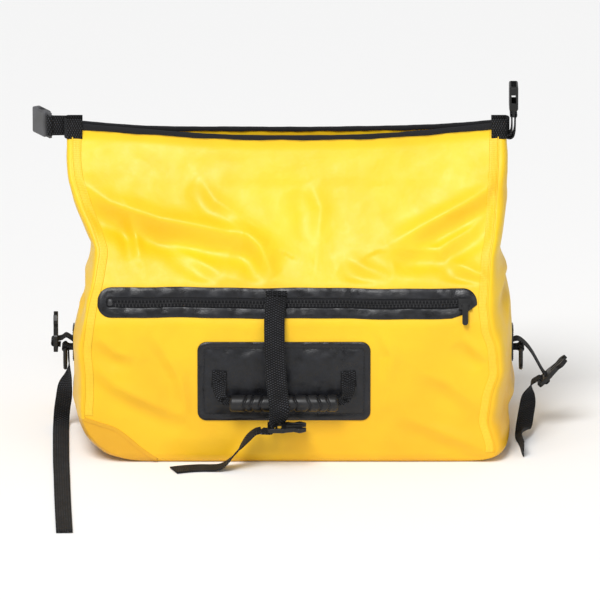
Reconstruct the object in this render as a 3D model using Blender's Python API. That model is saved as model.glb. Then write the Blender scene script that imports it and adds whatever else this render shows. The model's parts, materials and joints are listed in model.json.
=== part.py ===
"""Roll-top dry duffel with a zipped front pocket, a grab handle and buckled straps.

The bag stands on its base with the mouth up and unrolled. Metres, +Z up, front towards -Y,
origin at the centre of the base, on the ground.
"""
import math
from collections import namedtuple

import bmesh
import bpy
from mathutils import Matrix, Vector

# Overall sizes
BAG_LENGTH = 0.536
BAG_DEPTH = 0.262
BAG_HEIGHT = 0.385

# Shell
WALL = 0.0015
SEAM_GAP = 0.0006
FIT = 0.0003
END_BULGE = 0.018
BASE_RISE = 0.045
BASE_INSET_DEPTH = 0.010
BASE_INSET_LENGTH = 0.055
ZIP_LOW_DEPTH = 0.252
ZIP_HIGH_DEPTH = 0.216
WAIST_RISE = 0.030
WAIST_DEPTH = 0.176
WAIST_NARROWING = 0.020
SHOULDER_DEPTH = 0.122

# Roll-top collar
COLLAR_HEIGHT = 0.055
FOLD_DEPTH = 0.076
FOLD_NARROWING = 0.006
MOUTH_LENGTH = 0.536
MOUTH_BULGE = 0.010
MOUTH_END_DEPTH = 0.015
MOUTH_GAP = 0.038
MOUTH_SHIFT = -0.0075
HEM_HEIGHT = 0.012
HEM_TAPE = 0.0008
STIFFENER_HEIGHT = 0.009
STIFFENER_THICKNESS = 0.0010
FOLD_AXIS_OFFSET = 0.003

# Webbing
WEBBING_WIDTH = 0.025
WEBBING_THICKNESS = 0.0018
SIDE_WEBBING_WIDTH = 0.020
SIDE_WEBBING_THICKNESS = 0.0015

# Front pocket zip
ZIP_HEIGHT = 0.197
ZIP_SURROUND_HEIGHT = 0.037
ZIP_SURROUND_THICKNESS = 0.0012
ZIP_SLOT_HEIGHT = 0.015
ZIP_END_MARGIN = 0.006
ZIP_END_BAND = 0.011
ZIP_FACET_MARGIN = 0.005
TAPE_THICKNESS = 0.0010
TOOTH_PITCH = 0.0045
TOOTH_WIDTH = 0.0019
TOOTH_REACH = 0.0008
TEETH_HALF_HEIGHT = 0.0052
TEETH_SPINE = 0.0020
TEETH_THICKNESS = 0.0030
STOP_LENGTH = 0.006
SLIDER_LENGTH = 0.016
SLIDER_PLATE = 0.0014
SLIDER_FLANGE = 0.0012
PULLER_LENGTH = 0.026
PULLER_WIDTH = 0.007
PULLER_THICKNESS = 0.0016
PULLER_PIN_RADIUS = 0.0008
LINER_DEPTH = 0.0075
LINER_THICKNESS = 0.0010
LINER_BOTTOM = 0.066

# Carry handle
PATCH_LENGTH = 0.210
PATCH_HEIGHT = 0.096
PATCH_THICKNESS = 0.0015
PATCH_CORNER = 0.011
PATCH_CENTRE_X = -0.011
PATCH_CENTRE_Z = 0.104
HANDLE_SPAN = 0.156
HANDLE_WEBBING_WIDTH = 0.018
HANDLE_CORE_WIDTH = 0.0075
HANDLE_CORE_THICKNESS = 0.0030
HANDLE_DROP = 0.022
HANDLE_ANCHOR_HEIGHT = 0.020
HANDLE_HINGE_DROP = 0.0016       # hinge line below the anchors, so the turning webbing clears them
GRIP_LENGTH = 0.132
GRIP_RADIUS = 0.0085
GRIP_BORE = 0.0052
GRIP_GROOVE_DEPTH = 0.0011
GRIP_GROOVES = 7
FINGER_GAP = 0.007

# Centre straps
STRAP_X = -0.016
STRAP_ANCHOR_LENGTH = 0.026
STRAP_ANCHOR_HEIGHT = 0.007
STRAP_ANCHOR_DEPTH = 0.0060
STRAP_ANCHOR_RISE = 0.0125
STRAP_HINGE_SHARE = 0.45         # hinge line of the loose strap, from the belly's edge to the grip
FRONT_BUCKLE_HEIGHT = 0.0535
BACK_STRAP_HEIGHT = 0.205
BACK_STRAP_LENGTH = 0.085

# Buckles
BUCKLE_WALL = 0.0032
BUCKLE_SLIT = 0.0045
BUCKLE_BAR = 0.0016
FEMALE_LENGTH = 0.038
FEMALE_THICKNESS = 0.011
FEMALE_SOCKET_THICKNESS = 0.0062
MALE_PRONG_LENGTH = 0.025
MALE_LADDER_LENGTH = 0.022
MALE_THICKNESS = 0.0054

# Side hardware
ANCHOR_HEIGHT = 0.113
ANCHOR_PATCH_WIDTH = 0.030
ANCHOR_PATCH_HEIGHT = 0.042
ANCHOR_PATCH_THICKNESS = 0.0015
ANCHOR_PATCH_CLEARANCE = 0.0012
RING_INNER_WIDTH = 0.024
RING_INNER_HEIGHT = 0.022
RING_ROD = 0.0046
RING_OUTREACH = 0.011
RING_DROP = 0.006

YELLOW = (0.93, 0.62, 0.02)
BLACK_WEBBING = (0.012, 0.012, 0.014)
BLACK_PLASTIC = (0.018, 0.018, 0.020)
GREY_PLASTIC = (0.075, 0.075, 0.082)
BLACK_COATED = (0.020, 0.020, 0.024)
INNER_GREY = (0.42, 0.42, 0.42)

Section = namedtuple("Section", "z depth seam bulge lens shift")


# ---------------------------------------------------------------- scene and object helpers

def clear_scene():
    for obj in list(bpy.data.objects):
        bpy.data.objects.remove(obj, do_unlink=True)


def plain_material(name, colour, roughness, metallic=0.0):
    found = bpy.data.materials.get(name)
    if found:
        return found
    material = bpy.data.materials.new(name)
    material.use_nodes = True
    shader = material.node_tree.nodes["Principled BSDF"]
    shader.inputs["Base Color"].default_value = (*colour, 1.0)
    shader.inputs["Roughness"].default_value = roughness
    shader.inputs["Metallic"].default_value = metallic
    return material


def coated_fabric():
    return plain_material("coated_fabric", YELLOW, 0.35)


def black_coated():
    return plain_material("black_coated_fabric", BLACK_COATED, 0.35)


def webbing():
    return plain_material("webbing", BLACK_WEBBING, 0.85)


def plastic():
    return plain_material("buckle_plastic", BLACK_PLASTIC, 0.45)


def grey_plastic():
    return plain_material("grey_buckle_plastic", GREY_PLASTIC, 0.45)


def inner_fabric():
    return plain_material("inner_fabric", INNER_GREY, 0.6)


def finish_mesh(name, bm, material, smooth=False):
    """Turn a bmesh into a linked object with outward faces."""
    bmesh.ops.recalc_face_normals(bm, faces=bm.faces)
    mesh = bpy.data.meshes.new(name)
    bm.to_mesh(mesh)
    bm.free()
    obj = bpy.data.objects.new(name, mesh)
    bpy.context.scene.collection.objects.link(obj)
    mesh.materials.append(material)
    if smooth:
        mesh.shade_smooth()
        mesh.set_sharp_from_angle(angle=math.radians(40))
    return obj


def transform(obj, matrix):
    obj.data.transform(matrix)
    return obj


def pivot(name, location):
    """Empty on a joint's axis; the pieces that move about it hang from it."""
    empty = bpy.data.objects.new(name, None)
    empty.location = location
    bpy.context.scene.collection.objects.link(empty)
    return empty


def hang(empty, *objects):
    for obj in objects:
        obj.parent = empty
        obj.matrix_parent_inverse = Matrix.Translation(-empty.location)


def box(name, low, high, material):
    bm = bmesh.new()
    bmesh.ops.create_cube(bm, size=1.0)
    size = Vector(high) - Vector(low)
    centre = (Vector(high) + Vector(low)) / 2
    bmesh.ops.transform(bm, matrix=Matrix.LocRotScale(centre, None, size), verts=bm.verts)
    return finish_mesh(name, bm, material)


def loft(name, rings, material, closed=False, smooth=False):
    """Skin closed outlines of equal point count; closed joins the last ring to the first."""
    bm = bmesh.new()
    rows = [[bm.verts.new(point) for point in ring] for ring in rings]
    count = len(rows[0])
    pairs = list(zip(rows, rows[1:]))
    if closed:
        pairs.append((rows[-1], rows[0]))
    for first, second in pairs:
        for i in range(count):
            j = (i + 1) % count
            bm.faces.new((first[i], first[j], second[j], second[i]))
    if not closed:
        bm.faces.new(rows[0])
        bm.faces.new(rows[-1])
    return finish_mesh(name, bm, material, smooth)


def prism(name, outline, low, high, material, holes=()):
    """Upright solid over an XY outline from z=low to z=high, with through holes."""
    obj = loft(name, [[(x, y, z) for x, y in outline] for z in (low, high)], material)
    for index, hole in enumerate(holes):
        rings = [[(x, y, z) for x, y in hole] for z in (low - 0.01, high + 0.01)]
        cut(obj, loft(f"{name}_hole_{index}", rings, material))
    return obj


def hide_operand(obj):
    obj.hide_render = True
    obj.display_type = "WIRE"


def boolean(obj, operand, operation):
    hide_operand(operand)
    modifier = obj.modifiers.new(operation.lower(), "BOOLEAN")
    modifier.operation = operation
    modifier.object = operand
    modifier.solver = "EXACT"


def cut(obj, cutter):
    boolean(obj, cutter, "DIFFERENCE")


def join(obj, other):
    boolean(obj, other, "UNION")


def bevel(obj, width, segments=2):
    modifier = obj.modifiers.new("bevel", "BEVEL")
    modifier.width = width
    modifier.segments = segments
    modifier.limit_method = "ANGLE"
    modifier.angle_limit = math.radians(35)


def rounded_rectangle(length, height, radius, steps=5):
    """Outline centred on the origin, corner arcs included."""
    outline = []
    corners = ((1, 1, 0), (-1, 1, 90), (-1, -1, 180), (1, -1, 270))
    for side_x, side_y, start in corners:
        centre_x = side_x * (length / 2 - radius)
        centre_y = side_y * (height / 2 - radius)
        for step in range(steps + 1):
            angle = math.radians(start + 90 * step / steps)
            outline.append((centre_x + radius * math.cos(angle),
                            centre_y + radius * math.sin(angle)))
    return outline


def smooth_path(points, steps):
    """Catmull-Rom curve through the points, with the given steps between two of them."""
    points = [Vector(point) for point in points]
    padded = [2 * points[0] - points[1], *points, 2 * points[-1] - points[-2]]
    path = []
    for p0, p1, p2, p3 in zip(padded, padded[1:], padded[2:], padded[3:]):
        for step in range(steps):
            t = step / steps
            path.append(0.5 * (2 * p1 + (p2 - p0) * t + (2 * p0 - 5 * p1 + 4 * p2 - p3) * t ** 2
                               + (3 * p1 - p0 - 3 * p2 + p3) * t ** 3))
    path.append(points[-1])
    return path


def ribbon(name, path, across, widths, thicknesses, material):
    """Flat strip along a path; across gives the width direction at each point."""
    rings = []
    last = len(path) - 1
    for i, point in enumerate(path):
        point = Vector(point)
        tangent = (Vector(path[min(i + 1, last)]) - Vector(path[max(i - 1, 0)])).normalized()
        side = Vector(across[i])
        side = (side - side.dot(tangent) * tangent).normalized()
        normal = tangent.cross(side)
        half_width = side * widths[i] / 2
        half_thickness = normal * thicknesses[i] / 2
        rings.append([point - half_width - half_thickness, point + half_width - half_thickness,
                      point + half_width + half_thickness, point - half_width + half_thickness])
    return loft(name, rings, material)


def even_ribbon(name, path, across, width, thickness, material):
    count = len(path)
    return ribbon(name, path, [across] * count, [width] * count, [thickness] * count, material)


def arc(centre, radius, start, end, steps):
    """Points (a, b) on an arc, angles in degrees."""
    angles = [math.radians(start + (end - start) * i / steps) for i in range(steps + 1)]
    return [(centre[0] + radius * math.cos(a), centre[1] + radius * math.sin(a)) for a in angles]


# ---------------------------------------------------------------- the bag's outer surface

FOLD_HEIGHT = BAG_HEIGHT - COLLAR_HEIGHT
ZIP_FACET_HALF = ZIP_SURROUND_HEIGHT / 2 + ZIP_FACET_MARGIN
BELLY_SEAM = BAG_LENGTH / 2 - END_BULGE
MOUTH_SEAM = MOUTH_LENGTH / 2 - MOUTH_BULGE


def base_corner_sections():
    """The rounded lower edge, a quarter of an ellipse from flat to upright."""
    sections = []
    for step in range(4):
        angle = math.radians(90 * step / 4)
        open_share = 1 - math.sin(angle)
        sections.append(Section(BASE_RISE * (1 - math.cos(angle)),
                                BAG_DEPTH / 2 - BASE_INSET_DEPTH * open_share,
                                BELLY_SEAM - BASE_INSET_LENGTH * open_share, END_BULGE, 0.0, 0.0))
    return sections


def bag_sections():
    """Half depth and half width of the bag at each height where its slope changes."""
    zip_low = ZIP_HEIGHT - ZIP_FACET_HALF
    zip_high = ZIP_HEIGHT + ZIP_FACET_HALF
    waist = zip_high + WAIST_RISE
    waist_seam = BELLY_SEAM - WAIST_NARROWING
    zip_seam = BELLY_SEAM - WAIST_NARROWING / 2
    fold_seam = BELLY_SEAM - FOLD_NARROWING
    hem_low = BAG_HEIGHT - HEM_HEIGHT - 0.003
    neck = (FOLD_HEIGHT + hem_low) / 2
    neck_depth = (FOLD_DEPTH + MOUTH_END_DEPTH) / 4
    lens = (MOUTH_GAP - MOUTH_END_DEPTH) / 2
    return base_corner_sections() + [
        Section(BASE_RISE, BAG_DEPTH / 2, BELLY_SEAM, END_BULGE, 0.0, 0.0),
        Section(zip_low, ZIP_LOW_DEPTH / 2, zip_seam + WAIST_NARROWING / 4, END_BULGE, 0.0, 0.0),
        Section(zip_high, ZIP_HIGH_DEPTH / 2, zip_seam, END_BULGE * 0.8, 0.0, 0.0),
        Section(waist, WAIST_DEPTH / 2, waist_seam, END_BULGE * 0.7, 0.0, 0.0),
        Section((waist + FOLD_HEIGHT) / 2, SHOULDER_DEPTH / 2, waist_seam, MOUTH_BULGE, 0.0,
                MOUTH_SHIFT / 4),
        Section(FOLD_HEIGHT, FOLD_DEPTH / 2, fold_seam, MOUTH_BULGE, 0.0, MOUTH_SHIFT / 2),
        Section(neck, neck_depth, (fold_seam + MOUTH_SEAM) / 2, MOUTH_BULGE, lens / 2,
                MOUTH_SHIFT),
        Section(hem_low, MOUTH_END_DEPTH / 2, MOUTH_SEAM, MOUTH_BULGE, lens, MOUTH_SHIFT),
        Section(BAG_HEIGHT, MOUTH_END_DEPTH / 2, MOUTH_SEAM, MOUTH_BULGE, lens, MOUTH_SHIFT),
    ]


SECTIONS = bag_sections()


def section_at(z):
    """The bag's section at a height, between the listed ones."""
    for low, high in zip(SECTIONS, SECTIONS[1:]):
        if z <= high.z:
            share = (z - low.z) / (high.z - low.z)
            return Section(*(a + (b - a) * share for a, b in zip(low, high)))
    top = SECTIONS[-1]
    return Section(z, *top[1:])


def wall_point(side, u, z):
    """Point of the outer surface: u runs from -1 to 1 across the named side."""
    s = section_at(z)
    if side in ("front", "back"):
        y = s.depth + s.lens * math.cos(u * math.pi / 2)
        x = s.shift + u * (s.seam - SEAM_GAP / 2)
        return Vector((x, -y if side == "front" else y, z))
    angle = u * math.pi / 2
    x = s.seam + SEAM_GAP / 2 + s.bulge * math.cos(angle)
    return Vector((s.shift + (x if side == "right" else -x), s.depth * math.sin(angle), z))


def wall_normal(side, u, z):
    """Outward normal of the outer surface."""
    if z <= 0:
        return Vector((0, 0, -1))
    along = wall_point(side, u + 1e-4, z) - wall_point(side, u - 1e-4, z)
    up = wall_point(side, u, z + 1e-3) - wall_point(side, u, z - 1e-3)
    normal = along.cross(up).normalized()
    return normal if side in ("front", "right") else -normal


def sheet(name, side, across, heights, thickness, material, depth=None):
    """Closed thin solid that follows a wall; depth(u, z) sinks it below the outer surface."""
    bm = bmesh.new()
    grids = []
    for extra in (0.0, thickness):
        grid = []
        for z in heights:
            row = []
            for u in across:
                sunk = extra + (depth(u, z) if depth else 0.0)
                row.append(bm.verts.new(wall_point(side, u, z) - wall_normal(side, u, z) * sunk))
            grid.append(row)
        grids.append(grid)
    outer, inner = grids
    rows, columns = len(heights), len(across)
    for i in range(rows - 1):
        for j in range(columns - 1):
            for grid in grids:
                bm.faces.new((grid[i][j], grid[i][j + 1], grid[i + 1][j + 1], grid[i + 1][j]))
    for i in range(rows - 1):
        for j in (0, columns - 1):
            bm.faces.new((outer[i][j], outer[i + 1][j], inner[i + 1][j], inner[i][j]))
    for j in range(columns - 1):
        for i in (0, rows - 1):
            bm.faces.new((outer[i][j], outer[i][j + 1], inner[i][j + 1], inner[i][j]))
    return finish_mesh(name, bm, material, smooth=True)


FLAT_ACROSS = [-1 + i / 6 for i in range(13)]
END_ACROSS = [-1.0, -0.85, -0.6, -0.3, 0.0, 0.3, 0.6, 0.85, 1.0]


def facet_matrix(z, x=0.0, back=False):
    """Frame on the front (or back) wall: X across, Z up the wall, -Y (or +Y) outwards."""
    point = wall_point("front", 0.0, z)
    normal = wall_normal("front", 0.0, z)
    tilt = math.atan2(normal.z, -normal.y)
    frame = Matrix.Translation((x, point.y, z)) @ Matrix.Rotation(-tilt, 4, "X")
    if back:
        frame = Matrix.Rotation(math.pi, 4, "Z") @ Matrix.Translation((-2 * x, 0, 0)) @ frame
    return frame


# ---------------------------------------------------------------- shell

def make_shell():
    body_heights = [s.z for s in SECTIONS if s.z < FOLD_HEIGHT] + [FOLD_HEIGHT]
    front = sheet("front_panel", "front", FLAT_ACROSS, body_heights, WALL, coated_fabric())
    sheet("back_panel", "back", FLAT_ACROSS, body_heights, WALL, coated_fabric())
    sheet("left_end_panel", "left", END_ACROSS, body_heights, WALL, coated_fabric())
    sheet("right_end_panel", "right", END_ACROSS, body_heights, WALL, coated_fabric())
    return front


def make_base():
    s = SECTIONS[0]
    half_depth = s.depth - SEAM_GAP
    right = [(s.seam + (s.bulge - SEAM_GAP) * math.cos(u * math.pi / 2),
              half_depth * math.sin(u * math.pi / 2)) for u in END_ACROSS]
    left = [(-x, -y) for x, y in right]
    prism("base_panel", right + left, 0.0, WALL, coated_fabric())


# ---------------------------------------------------------------- roll-top collar

def hem_rings(side, gap, inner_extra):
    """Sections of the binding: an upturned U over the collar's edge, station by station."""
    sign = -1 if side == "front" else 1
    rings = []
    outer_gap = gap + HEM_TAPE
    for u in [i / 8 for i in range(-8, 9)]:
        top = wall_point(side, u, BAG_HEIGHT)
        outside = top.y + sign * outer_gap
        outside_in = top.y + sign * gap
        inside_in = top.y - sign * (WALL + inner_extra + gap)
        inside = inside_in - sign * HEM_TAPE
        low = BAG_HEIGHT - HEM_HEIGHT
        roof = BAG_HEIGHT + FIT
        profile = [(outside, low), (outside, roof + HEM_TAPE), (inside, roof + HEM_TAPE),
                   (inside, low), (inside_in, low), (inside_in, roof), (outside_in, roof),
                   (outside_in, low)]
        rings.append([(top.x, y, z) for y, z in profile])
    return rings


def make_stiffener(side):
    sign = -1 if side == "front" else 1
    rings = []
    for u in [i / 8 * 0.97 for i in range(-8, 9)]:
        top = wall_point(side, u, BAG_HEIGHT)
        near = top.y - sign * (WALL + FIT)
        far = near - sign * STIFFENER_THICKNESS
        low = BAG_HEIGHT - STIFFENER_HEIGHT
        rings.append([(top.x, near, low), (top.x, near, BAG_HEIGHT),
                      (top.x, far, BAG_HEIGHT), (top.x, far, low)])
    return loft(f"{side}_stiffener", rings, plastic())


def make_collar(fold):
    heights = [FOLD_HEIGHT + SEAM_GAP] + [s.z for s in SECTIONS if s.z > FOLD_HEIGHT]
    pieces = []
    for side in ("front", "back"):
        pieces.append(sheet(f"{side}_collar", side, FLAT_ACROSS, heights, WALL, coated_fabric()))
        rings = hem_rings(side, FIT, FIT + STIFFENER_THICKNESS)
        pieces.append(loft(f"{side}_hem", rings, webbing()))
        pieces.append(make_stiffener(side))
    for side in ("left", "right"):
        pieces.append(sheet(f"{side}_gusset", side, END_ACROSS, heights, WALL, coated_fabric()))
    pieces.append(make_left_end_tab())
    pieces.append(make_right_end_tab())
    hang(fold, *pieces)


TAB_HEIGHT = BAG_HEIGHT - 0.002
TAB_CLEAR = MOUTH_END_DEPTH / 2 + FIT * 2 + HEM_TAPE + WEBBING_THICKNESS / 2 + 0.0004
TAB_END = MOUTH_LENGTH / 2 + SEAM_GAP / 2 + FIT + WEBBING_THICKNESS
LEFT_BAR = Vector((MOUTH_SHIFT - TAB_END - 0.018, 0.0, TAB_HEIGHT + 0.006))
RIGHT_BAR = Vector((MOUTH_SHIFT + TAB_END + 0.0055, 0.0, TAB_HEIGHT + 0.022))
BAR_LOOP = BUCKLE_BAR * math.sqrt(2) + FIT * 2 + WEBBING_THICKNESS / 2


def tab_wrap(sign):
    """Plan path of the webbing round a mouth corner, front leg to back leg."""
    start = MOUTH_SEAM - 0.004
    turn = TAB_END - TAB_CLEAR * 0.55
    path = [(start, -TAB_CLEAR), (turn, -TAB_CLEAR)]
    path += [(turn + TAB_CLEAR * math.cos(a) * 0.55, TAB_CLEAR * math.sin(a))
             for a in [math.radians(d) for d in range(-70, 71, 20)]]
    path += [(turn, TAB_CLEAR), (start, TAB_CLEAR)]
    return [(MOUTH_SHIFT + sign * x, y, TAB_HEIGHT) for x, y in path]


def make_left_end_tab():
    wrap = even_ribbon("left_end_tab", tab_wrap(-1), (0, 0, 1), WEBBING_WIDTH,
                       WEBBING_THICKNESS, webbing())
    root = MOUTH_SHIFT - TAB_END + WEBBING_THICKNESS * 0.5
    neck = [(root, -0.0012), (LEFT_BAR.x + 0.0045, -0.0016)]
    neck += arc((LEFT_BAR.x, 0.0), BAR_LOOP, -35, -325, 10)
    neck += [(LEFT_BAR.x + 0.0045, 0.0016), (root, 0.0012)]
    path = [(x, y, LEFT_BAR.z) for x, y in neck]
    join(wrap, even_ribbon("left_tab_loop", path, (0, 0, 1), WEBBING_WIDTH,
                           WEBBING_THICKNESS, webbing()))
    return wrap


def make_right_end_tab():
    wrap = even_ribbon("right_end_tab", tab_wrap(1), (0, 0, 1), WEBBING_WIDTH,
                       WEBBING_THICKNESS, webbing())
    foot = RIGHT_BAR.x - 0.0016
    path = [(foot, TAB_HEIGHT - 0.010), (foot - 0.0004, RIGHT_BAR.z - 0.006)]
    path += arc((RIGHT_BAR.x, RIGHT_BAR.z), BAR_LOOP, 235, -55, 10)
    path += [(foot + 0.0036, RIGHT_BAR.z - 0.006), (foot + 0.0032, TAB_HEIGHT - 0.006)]
    loop = even_ribbon("right_tab_loop", [(x, 0.0, z) for x, z in path], (0, 1, 0),
                       WEBBING_WIDTH, WEBBING_THICKNESS, webbing())
    join(wrap, loop)
    bridge = box("right_tab_bridge", (MOUTH_SHIFT + TAB_END - WEBBING_THICKNESS / 3,
                                      -WEBBING_WIDTH / 2 + 0.003, TAB_HEIGHT - 0.009),
                 (foot + 0.0034, WEBBING_WIDTH / 2 - 0.003, TAB_HEIGHT + 0.006), webbing())
    join(wrap, bridge)
    return wrap


# ---------------------------------------------------------------- buckles

def female_buckle(name, webbing_width, matrix, material):
    """Side-release socket: webbing bar on the local origin, mouth towards local +X."""
    half = webbing_width / 2 + FIT * 2
    outside = half + BUCKLE_WALL
    frame_end = BUCKLE_BAR + BUCKLE_SLIT
    body_end = FEMALE_LENGTH - BUCKLE_BAR
    body = box(name, (frame_end, -outside, -FEMALE_THICKNESS / 2),
               (body_end, outside, FEMALE_THICKNESS / 2), material)
    bevel(body, 0.0022)
    frame = box(f"{name}_frame", (-BUCKLE_BAR, -outside + 0.0005, -BUCKLE_BAR),
                (frame_end + 0.004, outside - 0.0005, BUCKLE_BAR), material)
    join(body, frame)
    slit = box(f"{name}_slit", (BUCKLE_BAR, -half, -0.02), (frame_end - 0.0004, half, 0.02),
               material)
    cut(body, slit)
    socket = box(f"{name}_socket", (frame_end + BUCKLE_WALL, -half, -FEMALE_SOCKET_THICKNESS / 2),
                 (body_end + 0.01, half, FEMALE_SOCKET_THICKNESS / 2), material)
    cut(body, socket)
    window_start = frame_end + BUCKLE_WALL + 0.006
    window = box(f"{name}_window", (window_start, -0.03, -FEMALE_SOCKET_THICKNESS / 2 + 0.0003),
                 (window_start + 0.011, 0.03, FEMALE_SOCKET_THICKNESS / 2 - 0.0003), material)
    cut(body, window)
    for piece in (body, frame, slit, socket, window):
        transform(piece, matrix)
    return body


def male_outline(half):
    """Plan outline of the prong half: ladder frame, two barbed arms and a guide tongue."""
    outside = half + BUCKLE_WALL
    front = MALE_LADDER_LENGTH / 2
    tip = front + MALE_PRONG_LENGTH
    upper = [(-front, outside - 0.003), (-front + 0.003, outside), (front - 0.002, outside),
             (front, outside - 0.0015), (front + 0.010, half - 0.0015),
             (front + 0.016, outside - 0.0005), (front + 0.019, outside - 0.001),
             (tip, half - 0.0025), (tip, half - 0.0045), (front + 0.016, half - 0.0050),
             (front + 0.002, half - 0.0045), (front + 0.001, 0.0030), (tip - 0.004, 0.0020)]
    return upper + [(x, -y) for x, y in reversed(upper)]


def male_buckle(name, webbing_width, matrix, material):
    """Prong half with a two-slit ladder: middle bar on the local origin, prongs to +X."""
    half = webbing_width / 2 + FIT * 2
    body = prism(name, male_outline(half), -MALE_THICKNESS / 2, MALE_THICKNESS / 2, material)
    bevel(body, 0.0006, 1)
    slits = []
    for index, sign in enumerate((-1, 1)):
        near = sign * BUCKLE_BAR * 0.8
        far = near + sign * BUCKLE_SLIT
        slit = box(f"{name}_slit_{index}", (min(near, far), -half, -0.02),
                   (max(near, far), half, 0.02), material)
        cut(body, slit)
        slits.append(slit)
    for piece in (body, *slits):
        transform(piece, matrix)
    return body


def local_frame(origin, x_axis, y_axis):
    """Matrix with the given origin and X and Y directions."""
    x = Vector(x_axis).normalized()
    z = x.cross(Vector(y_axis)).normalized()
    y = z.cross(x)
    matrix = Matrix((x, y, z)).transposed().to_4x4()
    matrix.translation = Vector(origin)
    return matrix


def make_mouth_buckles():
    left = pivot("left_mouth_buckle_pivot", LEFT_BAR)
    hang(left, female_buckle("left_mouth_buckle", WEBBING_WIDTH,
                             local_frame(LEFT_BAR, (-0.50, 0.866, 0), (0, 0, 1)), grey_plastic()))
    right = pivot("right_mouth_buckle_pivot", RIGHT_BAR)
    hang(right, female_buckle("right_mouth_buckle", WEBBING_WIDTH,
                              local_frame(RIGHT_BAR, (0, 0, 1), (0, 1, 0)), plastic()))


# ---------------------------------------------------------------- zipped pocket

def zip_length():
    return 2 * (section_at(ZIP_HEIGHT).seam - ZIP_END_MARGIN)


def make_zip(front_panel):
    """Everything of the zip, built flat in the facet's frame and then laid on it."""
    frame = facet_matrix(ZIP_HEIGHT)
    lay_flat = frame @ Matrix.Rotation(math.pi / 2, 4, "X")
    length = zip_length()
    slot_length = length - 2 * ZIP_END_BAND
    surround = prism("zip_surround",
                     rounded_rectangle(length, ZIP_SURROUND_HEIGHT, ZIP_SURROUND_HEIGHT / 2.1),
                     FIT, FIT + ZIP_SURROUND_THICKNESS, black_coated())
    slot = loft("zip_surround_slot",
                [[(x, y, z) for x, y in rounded_rectangle(slot_length, ZIP_SLOT_HEIGHT, 0.003)]
                 for z in (-0.01, 0.01)], black_coated())
    cut(surround, slot)
    panel_slot = box("front_panel_slot", (-slot_length / 2, -ZIP_SLOT_HEIGHT / 2, -0.01),
                     (slot_length / 2, ZIP_SLOT_HEIGHT / 2, 0.01), black_coated())
    cut(front_panel, panel_slot)
    for piece in (surround, slot, panel_slot):
        transform(piece, lay_flat)
    run = slot_length / 2 - FIT
    for name, sign in (("upper", 1), ("lower", -1)):
        make_tape(name, sign, run, lay_flat)
        make_teeth(name, sign, run - STOP_LENGTH - 0.002, lay_flat)
    for name, sign in (("left", -1), ("right", 1)):
        make_stop(name, sign, run, lay_flat)
    make_slider(run - STOP_LENGTH - 0.0025 - SLIDER_LENGTH / 2, lay_flat)


def make_tape(name, sign, run, lay_flat):
    near = sign * FIT
    far = sign * (ZIP_SLOT_HEIGHT / 2 - FIT)
    tape = box(f"zip_tape_{name}", (-run, min(near, far), -TAPE_THICKNESS - FIT),
               (run, max(near, far), -FIT), black_coated())
    transform(tape, lay_flat)


def make_teeth(name, sign, run, lay_flat):
    """One row of teeth as a comb: a spine with teeth that reach past the centre line."""
    start_shift = 0.0 if sign > 0 else TOOTH_PITCH / 2
    count = int((2 * run - TOOTH_WIDTH - start_shift) / TOOTH_PITCH) + 1
    root = TEETH_HALF_HEIGHT - TEETH_SPINE
    comb = []
    for k in range(count):
        centre = -run + TOOTH_WIDTH / 2 + start_shift + k * TOOTH_PITCH
        left, right = centre - TOOTH_WIDTH / 2, centre + TOOTH_WIDTH / 2
        comb += [(left, root), (left, -TOOTH_REACH), (right, -TOOTH_REACH), (right, root)]
    outline = comb[1:-1]
    outline += [(outline[-1][0], TEETH_HALF_HEIGHT), (outline[0][0], TEETH_HALF_HEIGHT)]
    outline = [(x, sign * y) for x, y in outline]
    teeth = prism(f"zip_teeth_{name}", outline, 0.0, TEETH_THICKNESS, plastic())
    transform(teeth, lay_flat)


def make_stop(name, sign, run, lay_flat):
    far = sign * (run - 0.001)
    near = sign * (run - 0.001 - STOP_LENGTH)
    stop = box(f"zip_stop_{name}", (min(near, far), -TEETH_HALF_HEIGHT, 0.0),
               (max(near, far), TEETH_HALF_HEIGHT, TEETH_THICKNESS), plastic())
    bevel(stop, 0.0006, 1)
    transform(stop, lay_flat)


def make_slider(x, lay_flat):
    """Slider with two flanges round the teeth and a puller pinned between two ears."""
    base = TEETH_THICKNESS + FIT
    top = base + SLIDER_PLATE
    edge = TEETH_HALF_HEIGHT + FIT + SLIDER_FLANGE
    half = SLIDER_LENGTH / 2
    body = box("zip_slider", (x - half, -edge, base), (x + half, edge, top), plastic())
    parts = [body]
    for index, sign in enumerate((-1, 1)):
        near, far = sign * (edge - SLIDER_FLANGE), sign * edge
        flange = box(f"zip_slider_flange_{index}", (x - half, min(near, far), 0.0006),
                     (x + half, max(near, far), top - 0.0002), plastic())
        join(body, flange)
        parts.append(flange)
    ear_gap = PULLER_WIDTH / 2 + FIT
    pin = Vector((x, 0.0, top + PULLER_THICKNESS / 2 + FIT * 2))
    for index, sign in enumerate((-1, 1)):
        near, far = x + sign * ear_gap, x + sign * (ear_gap + 0.0014)
        ear = box(f"zip_slider_ear_{index}", (min(near, far), -0.0018, top - 0.0005),
                  (max(near, far), 0.0018, pin.z + 0.0014), plastic())
        join(body, ear)
        parts.append(ear)
    bore = rod("zip_slider_bore", pin, ear_gap + 0.004, PULLER_PIN_RADIUS + FIT)
    cut(body, bore)
    parts.append(bore)
    for piece in parts:
        transform(piece, lay_flat)
    slider_pivot = pivot("zip_slider_pivot", lay_flat @ Vector((x, 0.0, 0.0)))
    hang(slider_pivot, body)
    make_puller(pin, ear_gap, lay_flat)


def rod(name, centre, half_length, radius, sides=10):
    """Round pin along X."""
    rings = []
    for x in (centre.x - half_length, centre.x + half_length):
        rings.append([(x, centre.y + radius * math.cos(2 * math.pi * k / sides),
                       centre.z + radius * math.sin(2 * math.pi * k / sides))
                      for k in range(sides)])
    return loft(name, rings, plastic(), smooth=True)


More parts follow.
